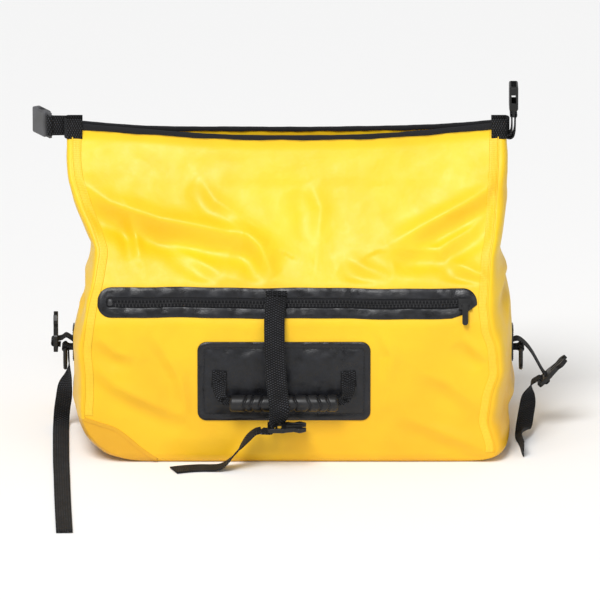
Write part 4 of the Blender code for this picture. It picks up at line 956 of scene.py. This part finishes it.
def make_corner_seam():
    """Welded edge of the base fabric at the lower left of the front."""
    line = catmull(BASE_CORNER, 6)
    half_low, half_high = [profile(t, np.array([p[1] for p in line]), 0.007)
                           for t in (SEAM_LEFT, SEAM_RIGHT)]
    path = []
    for (x, z), low, high in zip(line, half_low, half_high):
        u = np.clip((x - (low + high) / 2) / ((high - low) / 2), -1, 1)
        path.append(tuple(skin_points("front", np.array([u]), np.array([z]), 0.0002)[0]))
    obj, _ = strap("base_corner_weld", path, (0.5, 0, 0.86), 0.0045, 0.0012, 1,
                   fabric_look("base"))
    attach(obj, "bag", "shell_fabric")


def make_liner():
    """Grey lining that hangs behind the zip, inside the front."""
    u = np.linspace(-0.84, 0.84, 90)
    z = np.linspace(0.070, 0.212, 40)
    front = base_point("front", u[None, :], z[:, None])
    front[..., 1] += 0.010 + 0.002 * np.sin(u * 9)[None, :] * np.sin(z * 60)[:, None]
    verts = list(front.reshape(-1, 3))
    faces = grid_faces(len(z), len(u))
    uvs = [(verts[v][0], verts[v][2]) for face in faces for v in face]
    obj = mesh_object("pocket_lining", verts, faces, uvs)
    obj.data.materials.append(lining_look())
    obj.modifiers.new("thickness", "SOLIDIFY").thickness = 0.0006
    attach(obj, "bag", "lining", "pocket_liner")


@cache
def lining_look():
    material, tree = look("lining_grey")
    crinkle = noise_of(tree, 90.0, 5.0)
    colour = blend_colours(tree, crinkle, (0.33, 0.33, 0.34), (0.48, 0.48, 0.49))
    principled(tree, colour, 0.5, bumps(tree, (crinkle, 0.0008, 0.4)))
    return material


# ---------------------------------------------------------------- mouth

PIN_TURN = 0.00376  # radius of 25 mm webbing round a buckle's bar
HEM_PROFILE = [(0.0002, -0.0058), (0.0013, -0.0059), (0.0016, -0.0052), (0.0015, -0.0008),
               (0.0008, 0.0007), (-0.0008, 0.0011), (-0.0024, 0.0007), (-0.0030, -0.0008),
               (-0.0031, -0.0048), (-0.0028, -0.0054), (-0.0020, -0.0053), (-0.0019, -0.0006),
               (-0.0001, -0.0004)]


def make_hems():
    """Woven binding over the mouth's edge, front and back, with its row of stitches."""
    for side, sign in (("front", -1), ("back", 1)):
        rings, along, run, row = [], [], 0.0, []
        previous = None
        for u in np.linspace(-1, 1, 121):
            edge = base_point(side, np.array([u]), np.array([TOP]))[0]
            wobble = 0.0003 * math.sin(u * 41 + sign) + 0.0002 * math.sin(u * 97)
            taper = 0.80 + 0.35 * abs(u) ** 3 + 0.07 * math.sin(u * 23 + sign)
            if previous is not None:
                run += float(np.linalg.norm(edge - previous))
            previous = edge
            along.append(run)
            rings.append([(edge[0], edge[1] + sign * (out + wobble), edge[2] + up * taper)
                          for out, up in HEM_PROFILE])
            row.append(((edge[0], edge[1] + sign * (0.0017 + wobble), edge[2] - 0.0040 * taper),
                        (0, sign, 0)))
        obj = sweep(f"{side}_binding", rings, [p[1] for p in HEM_PROFILE], along, tape_look())
        attach(obj, "collar", "hem_tape", f"{side}_hem", f"{side}_stiffener")
        thread = stitches(f"{side}_binding_stitches", [row], width=0.0005)
        attach(thread, "collar", "hem_tape")


def webbed(name, node, body, path, across, width, thickness, steps=3):
    obj, line = strap(name, path, across, width, thickness, steps)
    attach(obj, body, "webbing", node)
    return obj, line


def make_end_tabs():
    """Webbing wrapped round the mouth's ends, and the loops that hold its buckles."""
    half = [(0.249, 0.0098), (0.2648, 0.0098), (0.2667, 0.0094), (0.2684, 0.0076),
            (0.2697, 0.0050), (0.2703, 0.0018)]
    outline = [(x, -y) for x, y in half] + half[::-1]
    for name, sign in (("left", -1), ("right", 1)):
        wrap = [(MOUTH_SHIFT + sign * x, y, 0.387) for x, y in outline]
        obj, _ = strap(f"{name}_tab_wrap", wrap, (0, 0, 1), 0.025, 0.0018, 3)
        attach(obj, "collar", "webbing", f"{name}_end_tab")
        lines = []
        for dx in (0.2515, 0.2615):
            for side in (-1, 1):
                x = MOUTH_SHIFT + sign * dx
                lines.append([((x, side * 0.0108, z), (0, side, 0)) for z in (0.3775, 0.3975)])
        attach(stitches(f"{name}_tab_stitches", lines), "collar", "webbing")
    left = [(-0.2765, -0.0012), (-0.2914, -0.0016)]
    left += turn((-0.2959, 0.0), PIN_TURN, -35, -325, 11)
    left += [(-0.2914, 0.0016), (-0.2765, 0.0012)]
    right = [(0.2605, 0.3792), (0.2645, 0.3795), (0.2664, 0.3850), (0.2664, 0.399)]
    right += turn((0.2684, 0.405), PIN_TURN, 235, -55, 11)
    right += [(0.2704, 0.399), (0.2702, 0.3860), (0.2684, 0.3778), (0.2645, 0.3752),
              (0.2605, 0.3758)]
    for name, path, across in (("left", [(x, y, 0.389) for x, y in left], (0, 0, 1)),
                               ("right", [(x, 0.0, z) for x, z in right], (0, 1, 0))):
        obj, _ = strap(f"{name}_buckle_loop", path, across, 0.0245, 0.0017, 2)
        attach(obj, "collar", "webbing")


# ---------------------------------------------------------------- front pocket zip and handle

def wall_frame(centre_x, centre_z):
    """Maps (across, up, out) on a front facet to the frame."""
    y = -float(np.interp(centre_z, *np.array(DEPTH).T))
    ahead = -float(np.interp(centre_z + 0.01, *np.array(DEPTH).T))
    up = Vector((0, ahead - y, 0.01)).normalized()
    out = Vector((0, -up.z, up.y))

    def place(a, b, n):
        return Vector((centre_x + a, y, centre_z)) + up * b + out * n
    place.out = out
    return place


ZIP_FACET = wall_frame(-0.007, 0.197)
ZIP_LIFT = 0.0012
ZIP_SLOPE = 0.0056
TEETH_LEVELLED = 0.7  # share of the slope that the teeth leave out, for the slider's level run


def zip_place(a, b, n):
    """The zip lies a little askew, with a wavy edge and a cut-away lower right end."""
    if b < 0 and a > 0.196:
        b *= 1 - 0.80 * min(1.0, (a - 0.196) / 0.034) ** 1.6
    wave = 0.0005 * math.sin(a * 38) + 0.0003 * math.sin(a * 91 + 1)
    return ZIP_FACET(a, b + ZIP_LIFT - ZIP_SLOPE * a + wave, n + 0.0002 * math.sin(a * 57))


def make_zip():
    length, height = 0.4604 / 2, 0.0372 / 2
    slot_long, slot_high = length - 0.0110, 0.0056
    loops = [(rounded_loop(length, height, 0.0168), 0.0),
             (rounded_loop(length, height, 0.0168), 0.0007),
             (rounded_loop(length - 0.0005, height - 0.0005, 0.0163), 0.0012),
             (rounded_loop(length - 0.0050, height - 0.0050, 0.0125), 0.0014),
             (rounded_loop(slot_long + 0.0020, slot_high + 0.0020, 0.0060), 0.0018),
             (rounded_loop(slot_long + 0.0004, slot_high + 0.0004, 0.0050), 0.0015),
             (rounded_loop(slot_long, slot_high, 0.0046), 0.0003)]
    surround = plate("zip_flange", zip_place, loops, laminate_look())
    attach(surround, "bag", "black_laminate", "zip_surround")
    stations = np.linspace(-slot_long, slot_long, 90)
    for name, sign in (("upper", 1), ("lower", -1)):
        rings = []
        for a in stations:
            near, far = sorted((sign * 0.0001, sign * (slot_high - 0.0001)))
            rings.append([zip_place(a, near, 0.0004), zip_place(a, far, 0.0004),
                          zip_place(a, far, 0.0010), zip_place(a, near, 0.0012)])
        tape = sweep(f"zip_tape_{name}_woven", rings, [0, 0.006, 0.006, 0],
                     list(stations), tape_look())
        attach(tape, "bag", "zip_tape", f"zip_tape_{name}")
        teeth = zip_teeth(f"zip_teeth_{name}_row", sign, slot_long - 0.010)
        attach(teeth, "bag", "zip_plastic", f"zip_teeth_{name}")
    for name, sign in (("left", -1), ("right", 1)):
        mid = sign * (slot_long - 0.0045)
        loop = rounded_loop(0.0030, 0.0042, 0.0018, 5, 3, 3)
        small = rounded_loop(0.0024, 0.0036, 0.0014, 5, 3, 3)
        stop = plate(f"zip_end_{name}", lambda a, b, n: zip_place(mid + a, b, n),
                     [(loop, 0.0008), (loop, 0.0022), (small, 0.0028)],
                     plastic_look(0.030, 0.36))
        attach(stop, "bag", "zip_plastic", f"zip_stop_{name}")
    dress("zip_slider", plastic_look(0.014, 0.32), 0.0005)
    dress("zip_puller", plastic_look(0.014, 0.32), 0.0005)


def zip_teeth(name, sign, reach, pitch=0.0042):
    """One side's moulded teeth: waisted blocks that interlock across the middle."""
    verts, faces = [], []
    for k in range(int(2 * reach / pitch)):
        a = -reach + pitch * (k + 0.5 + 0.25 * sign)
        level = TEETH_LEVELLED * (ZIP_SLOPE * a - ZIP_LIFT)
        base = len(verts)
        for n, inset in ((0.0009, 0.0), (0.0022, 0.0), (0.0026, 0.0003)):
            for da, b in ((-1, -0.0006), (1, -0.0006), (0.75, 0.0012), (1, 0.0040), (-1, 0.0040),
                          (-0.75, 0.0012)):
                up = level + sign * (b * (1 - 60 * inset))
                verts.append(zip_place(a + da * (0.00085 - inset), up, n))
        faces += tube_faces(base, 3, 6)
    return dressed(mesh_object(name, verts, faces, smooth=False), plastic_look(0.022, 0.34))


def dress(node, material, width, segments=2):
    """CAD node kept as it is, with softened edges and a detailed material."""
    obj = NODES[node]
    obj.data.materials.clear()
    obj.data.materials.append(material)
    edge = obj.modifiers.new("edges", "BEVEL")
    edge.width = width
    edge.segments = segments
    edge.limit_method = "ANGLE"
    edge.angle_limit = math.radians(35)


def make_handle():
    place = wall_frame(-0.011, 0.104)
    low_place = wall_frame(-0.011, 0.1030)
    half, high = 0.105, 0.0492
    loops = [(rounded_loop(half, high, 0.011), 0.0),
             (rounded_loop(half, high, 0.011), 0.0011),
             (rounded_loop(half - 0.0006, high - 0.0006, 0.0104), 0.0018),
             (rounded_loop(half - 0.0066, high - 0.0066, 0.0060), 0.0018),
             (rounded_loop(half - 0.0074, high - 0.0074, 0.0055), 0.0012),
             (rounded_loop(half - 0.0084, high - 0.0084, 0.0050), 0.0012),
             (rounded_loop(half - 0.0092, high - 0.0092, 0.0045), 0.0017),
             (rounded_loop(half - 0.0300, high - 0.0250, 0.0040), 0.0018)]
    patch = plate("handle_reinforcement", low_place, loops, laminate_look())
    attach(patch, "bag", "black_laminate", "handle_patch")
    ring = rounded_loop(half - 0.0079, high - 0.0079, 0.0052)
    line = [(low_place(a, b, 0.0017), place.out) for a, b in ring + ring[:1]]
    thread = stitches("handle_patch_stitches", [line], 0.0026, 0.0018, 0.0008)
    attach(thread, "bag", "black_laminate")
    for name, sign in (("left", -1), ("right", 1)):
        x = sign * 0.078
        tilt = 0.0015 * sign
        path = [place(x + tilt * (1 - t), -0.0075 + 0.0195 * t, 0.0030) for t in
                (0, 0.25, 0.5, 0.75, 1)]
        webbed(f"{name}_handle_end", f"{name}_handle_anchor", "bag", path, (1, 0, 0), 0.018,
               0.0024, 2)
        out = 0.0043
        box = [(x - 0.0065, -0.004), (x + 0.0065, -0.004), (x + 0.0065, 0.010), (x - 0.0065, 0.010)]
        lines = [[(place(*box[i], out), place.out), (place(*box[(i + 1) % 4], out), place.out)]
                 for i in range(4)]
        lines += [[(place(*box[i], out), place.out), (place(*box[i + 2], out), place.out)]
                  for i in (0, 1)]
        thread = stitches(f"{name}_handle_stitches", lines, 0.0018, 0.0009)
        attach(thread, "bag", "webbing")
    path = [(-0.089, -0.13352, 0.10367), (-0.089, -0.13411, 0.09871), (-0.089, -0.13891, 0.09389),
            (-0.0875, -0.14558, 0.08965), (-0.084, -0.14677, 0.08469),
            (-0.078, -0.14685, 0.08269), (-0.011, -0.14685, 0.08269)]
    sides = [(1, 0, 0), (1, 0, 0), (1, 0, 0.1), (0.97, 0, 0.25), (0.6, 0, 0.8), (0, 0, 1),
             (0, 0, 1)]
    widths = [0.018, 0.0175, 0.0160, 0.0130, 0.0110, 0.0090, 0.0090]
    thick = [0.0018, 0.0018, 0.0021, 0.0024, 0.0027, 0.0030, 0.0030]
    path += [(-0.022 - x, y, z) for x, y, z in path[-2::-1]]
    sides += [(-x, y, z) for x, y, z in sides[-2::-1]]
    webbed("handle_strap", "handle_webbing", "handle", path, sides,
           widths + widths[-2::-1], thick + thick[-2::-1], 4)
    make_grip()


def make_grip():
    """Moulded tube with chevron grooves cut at given places and a worn sheen."""
    centre = Vector((-0.011, -0.14600, 0.0800))
    half, radius = 0.066, 0.0100
    grooves = (-0.0500, -0.0415, -0.0305, 0.0165, 0.0325, 0.0455, 0.0560)
    sides = 48
    xs = np.linspace(-half, half, 265)
    verts = []
    for x in xs:
        end = max(0.0, (abs(x) - half + 0.004) / 0.004)
        for k in range(sides):
            angle = 2 * math.pi * k / sides
            cut = 0.0
            for groove in grooves:
                bend = 0.0046 * abs(math.sin(angle)) * (1 if groove < 0 else -1)
                cut += 0.0017 * math.exp(-((x - groove - bend) / 0.0013) ** 2)
            waist = 0.0003 * math.cos(x * 60)
            r = radius * (1 - 0.22 * end ** 2) - cut - waist
            verts.append(centre + Vector((x, -r * math.cos(angle), r * math.sin(angle))))
    faces = grid_faces(len(xs), sides, wrap=True)
    uvs = grid_uvs(len(xs), sides, lambda i, k: (xs[i], k * 2 * math.pi * radius / sides), wrap=True)
    for x, first in ((-half, 0), (half, (len(xs) - 1) * sides)):
        for k in range(sides):
            angle = 2 * math.pi * k / sides
            r = 0.0049
            verts.append(centre + Vector((x * 0.995, -r * math.cos(angle), r * math.sin(angle))))
        base = len(verts) - sides
        for k in range(sides):
            n = (k + 1) % sides
            faces.append((first + k, first + n, base + n, base + k))
            uvs += [(x, 0), (x, 0.001), (x, 0.001), (x, 0)]
    obj = dressed(mesh_object("handle_grip_moulding", verts, faces, uvs), rubber_look())
    attach(obj, "handle", "grip_rubber", "handle_grip")


@cache
def rubber_look():
    material, tree = look("rubber_grip")
    grain = noise_of(tree, 700.0, 3.0)
    wear = noise_of(tree, 50.0, 4.0)
    colour = blend_colours(tree, spread(tree, wear, 0.35, 0.7), (0.006, 0.006, 0.007),
                           (0.014, 0.014, 0.015))
    principled(tree, colour, spread(tree, wear, 0.3, 0.7, 0.34, 0.48),
               bumps(tree, (grain, 0.00012, 0.3)), Specular_IOR_Level=0.38)
    return material


# ---------------------------------------------------------------- straps and hardware

def make_centre_straps():
    top = [ZIP_FACET(-0.0135, 0.0125 + 0.0035 * t, 0.0042) for t in (-1, 0, 1)]
    webbed("front_strap_fold", "front_strap_anchor", "bag", top, (1, 0, 0), 0.0258, 0.0050, 2)
    out = 0.0068
    lines = [[(ZIP_FACET(-0.0135 - 0.011, 0.0125 + b, out), ZIP_FACET.out),
              (ZIP_FACET(-0.0135 + 0.011, 0.0125 + b, out), ZIP_FACET.out)]
             for b in (-0.0015, 0.0015)]
    thread = stitches("front_strap_stitches", lines, 0.0018, 0.0008)
    attach(thread, "bag", "webbing")
    path = [(-0.0205, -0.1232, 0.20862), (-0.0210, -0.1247, 0.20209), (-0.0216, -0.1272, 0.19555),
            (-0.0224, -0.1312, 0.18518), (-0.0226, -0.1354, 0.17256), (-0.0222, -0.1424, 0.1450),
            (-0.0206, -0.1498, 0.1150), (-0.0172, -0.1574, 0.08500),
            (-0.0160, -0.15904, 0.07532), (-0.0180, -0.15864, 0.0655),
            (-0.0205, -0.15814, 0.0590), (-0.0229, -0.15814, 0.0535),
            (-0.02433, -0.15814, 0.0506), (-0.02703, -0.15814, 0.0486),
            (-0.03553, -0.15780, 0.0486), (-0.0400, -0.15620, 0.0490)]
    sides = [(1, 0, 0)] * 5 + [(1, 0.02, 0), (1, 0.04, 0.06), (1, 0.06, 0.08), (1, 0.10, 0)]
    sides += [(0.93, 0.37, 0), (0.72, 0.69, 0), (0.25, 0.97, 0)] + [(0, 1, 0)] * 4
    obj, _ = strap("front_strap_run", path, sides, 0.025, 0.0018, 5)
    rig.replaces(obj, "front_strap_upper", "front_strap_lower")
    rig.slot(obj, "webbing")
    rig.blend(obj, "front_strap_root", "front_strap", (-0.016, -0.1395, 0.150), (-0.016, -0.1480, 0.121))
    route = [(0.11741, 0.20601), (0.1305, 0.1735), (0.13905, 0.12863)]
    route += turn((0.1405, 0.12101), PIN_TURN, 40.8, -199.2, 9)
    path = [(0.016, y, z) for y, z in route]
    webbed("back_strap_run", "back_strap", "back_strap_body", path, (1, 0, 0), 0.025, 0.0018)
    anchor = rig.box("back_strap_anchor")
    low, high = [Vector(c) for c in anchor]
    mid = (low + high) / 2
    lean = Vector((0, -0.35, 0.936))
    webbed("back_strap_fold", "back_strap_anchor", "bag",
           [mid - lean * 0.0035, mid, mid + lean * 0.0035], (1, 0, 0), 0.0258, 0.0055, 2)


RING_LOOP = [(0.26865, 0.1079), (0.27433, 0.1079)]
RING_LOOP += turn((0.27935, 0.107), 0.00335, 150, -150, 13)
RING_LOOP += [(0.27433, 0.1061), (0.26865, 0.1061)]


def make_side_hardware():
    for name, sign in (("left", -1), ("right", 1)):
        webbed(f"{name}_ring_loop", f"{name}_anchor_loop", "bag",
               [(sign * x, 0.0, z) for x, z in RING_LOOP], (0, 1, 0), 0.020, 0.0015, 2)
        base = 0.2681 * sign
        low, high = 0.092, 0.134
        centre = (low + high) / 2

        def place(a, b, n, base=base, centre=centre, sign=sign):
            return Vector((base + sign * n, a, centre + b))
        loops = [(rounded_loop(0.015, 0.021, 0.004, 6, 6, 6), 0.0),
                 (rounded_loop(0.015, 0.021, 0.004, 6, 6, 6), 0.0010),
                 (rounded_loop(0.0144, 0.0204, 0.0036, 6, 6, 6), 0.0015)]
        patch = plate(f"{name}_side_patch", place, loops, laminate_look())
        attach(patch, "bag", "black_laminate", f"{name}_anchor_patch")
        ring = rounded_loop(0.0125, 0.0185, 0.002, 6, 6, 6)
        line = [(place(a, b, 0.0017), (sign, 0, 0)) for a, b in ring + ring[:1]]
        thread = stitches(f"{name}_side_stitches", [line], 0.0018, 0.0009)
        attach(thread, "bag", "black_laminate")
    webbed("left_strap_run", "left_side_strap", "left_strap",
           [(-0.26925, 0.0, 0.1165), (-0.27325, 0.0, 0.1195), (-0.27825, 0.0, 0.122),
            (-0.2832, 0.0, 0.11873), (-0.28975, 0.0, 0.11753), (-0.2947, 0.0, 0.11713),
            (-0.2959, 0.0, 0.114), (-0.2947, 0.0, 0.11087), (-0.28975, 0.0, 0.11047),
            (-0.2847, 0.0, 0.11007)], (0, 1, 0), 0.020, 0.0015, 4)
    webbed("right_strap_run", "right_side_strap", "right_strap",
           [(0.26925, 0.0, 0.1165), (0.27625, 0.0, 0.1175), (0.28525, 0.0, 0.1105),
            (0.29375, 0.0, 0.099), (0.3057, 0.0, 0.07696), (0.31104, 0.0, 0.0702),
            (0.3144, 0.0, 0.06628), (0.3129, 0.0, 0.06336), (0.30998, 0.0, 0.06185),
            (0.30605, 0.0, 0.06521), (0.30241, 0.0, 0.06716), (0.29817, 0.0, 0.06461),
            (0.29640, 0.0, 0.06347)],
           (0, 1, 0), 0.020, 0.0015, 4)
    black = plastic_look(0.010, 0.36)
    for node in ("right_mouth_buckle", "back_female_buckle", "front_male_buckle",
                 "left_male_buckle", "right_male_buckle"):
        dress(node, black, 0.0005, 3)
    dress("left_mouth_buckle", plastic_look(0.085, 0.42), 0.0005, 3)
    for node in ("left_d_ring", "right_d_ring"):
        dress(node, plastic_look(0.010, 0.30), 0.0008, 3)


# ---------------------------------------------------------------- loose strap ends

WALL_OUT = 0.2683
LEFT_TAIL = [((0.0072, 0, 0.1020), (0, 1, 0)), ((0.0069, 0, 0.0930), (0, 1, 0)),
             ((0.0062, -0.002, 0.0810), (0.1, 1, 0)), ((0.0075, -0.002, 0.0690), (0.45, 0.9, 0)),
             ((0.0113, 0, 0.0560), (0.85, 0.5, 0)), ((0.0133, 0.006, 0.0400), (1, 0.15, 0)),
             ((0.0155, 0.015, 0.0240), (1, 0, 0.03)), ((0.0167, 0.021, 0.0110), (1, 0, 0.03)),
             ((0.0171, 0.017, 0.0032), (1, 0, 0)), ((0.0171, 0.004, 0.0010), (1, 0, 0)),
             ((0.0167, -0.020, 0.0010), (1, 0, 0)), ((0.0155, -0.070, 0.0010), (1, 0.02, 0)),
             ((0.0139, -0.130, 0.0010), (1, 0.03, 0)), ((0.0117, -0.190, 0.0010), (1, 0.03, 0)),
             ((0.0097, -0.250, 0.0010), (1, 0.03, 0)), ((0.0075, -0.310, 0.0010), (1, 0.04, 0)),
             ((0.0055, -0.360, 0.0010), (1, 0.04, 0)), ((0.0037, -0.404, 0.0010), (1, 0.04, 0))]
FRONT_TAIL = [((-0.0385, -0.1560, 0.0492), (0, 1, 0)), ((-0.0460, -0.1565, 0.0470), (0.1, 1, 0.1)),
              ((-0.0545, -0.1572, 0.0395), (0.3, 0.85, 0.43)),
              ((-0.0630, -0.1580, 0.0290), (0.51, 0.61, 0.61)),
              ((-0.0710, -0.1590, 0.0185), (0.5, 0.8, 0.35)),
              ((-0.0800, -0.1585, 0.0085), (0.24, 0.97, 0.1)),
              ((-0.0890, -0.1570, 0.0027), (0.1, 1, 0)), ((-0.1000, -0.1560, 0.0012), (0.05, 1, 0)),
              ((-0.1120, -0.1560, 0.0012), (-0.05, 1, 0)),
              ((-0.1240, -0.1580, 0.0012), (-0.1, 1, 0)),
              ((-0.1350, -0.1610, 0.0012), (-0.2, 0.98, 0)),
              ((-0.1450, -0.1650, 0.0012), (-0.29, 0.96, 0))]
RIGHT_TAIL = [((0.0287, 0, 0.0640), (0, 1, 0)), ((0.0253, 0, 0.0612), (0, 1, 0)),
              ((0.0225, -0.001, 0.0545), (0.29, 0.96, 0)), ((0.0209, -0.003, 0.0450), (0.8, 0.6, 0)),
              ((0.0197, -0.006, 0.0350), (0.97, 0.24, 0)), ((0.0177, -0.011, 0.0245), (0.98, 0.2, 0)),
              ((0.0157, -0.019, 0.0148), (0.98, 0.15, 0.1)), ((0.0132, -0.031, 0.0085), (0.93, 0, 0.37)),
              ((0.0113, -0.045, 0.0096), (0.68, 0, 0.73)), ((0.0103, -0.060, 0.0110), (0.29, 0, 0.96)),
              ((0.0103, -0.078, 0.0108), (0.05, 0, 1)), ((0.0113, -0.096, 0.0106), (0.03, 0, 1)),
              ((0.0127, -0.110, 0.0106), (0.03, 0, 1))]


def loose_end(name, node, body, rows, width, thickness):
    obj, line = strap(name, [r[0] for r in rows], [r[1] for r in rows], width, thickness, 4)
    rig.replaces(obj, node)
    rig.slot(obj, "webbing")
    length = sum((Vector(b) - Vector(a)).length for a, b in zip(line, line[1:]))
    if length > 6 * width:
        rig.cord(obj, line[0], round(length, 3), width, "bare", "medium", "loose", path=line)
    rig.ride(obj, body)


def beside_wall(rows, sign):
    return [((sign * (WALL_OUT + p[0]), p[1], p[2]), (sign * a[0], a[1], a[2])) for p, a in rows]


def make_loose_ends():
    loose_end("left_loose_end", "left_strap_tail", "bag", beside_wall(LEFT_TAIL, -1),
              0.020, 0.0015)
    loose_end("front_loose_end", "front_strap_tail", "front_strap", FRONT_TAIL, 0.025, 0.0018)
    loose_end("right_loose_end", "right_strap_tail", "right_strap", beside_wall(RIGHT_TAIL, 1),
              0.020, 0.0015)


make_camera()
make_loose_ends()
make_studio()
make_skin()
make_seams()
make_corner_seam()
make_liner()
make_hems()
make_end_tabs()
make_zip()
make_handle()
make_centre_straps()
make_side_hardware()

bpy.context.view_layer.update()
with open("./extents.json", "w") as size_file:
    json.dump({"cad": CAD_BOX, "visual": [list(corner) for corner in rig.bounds()]}, size_file)
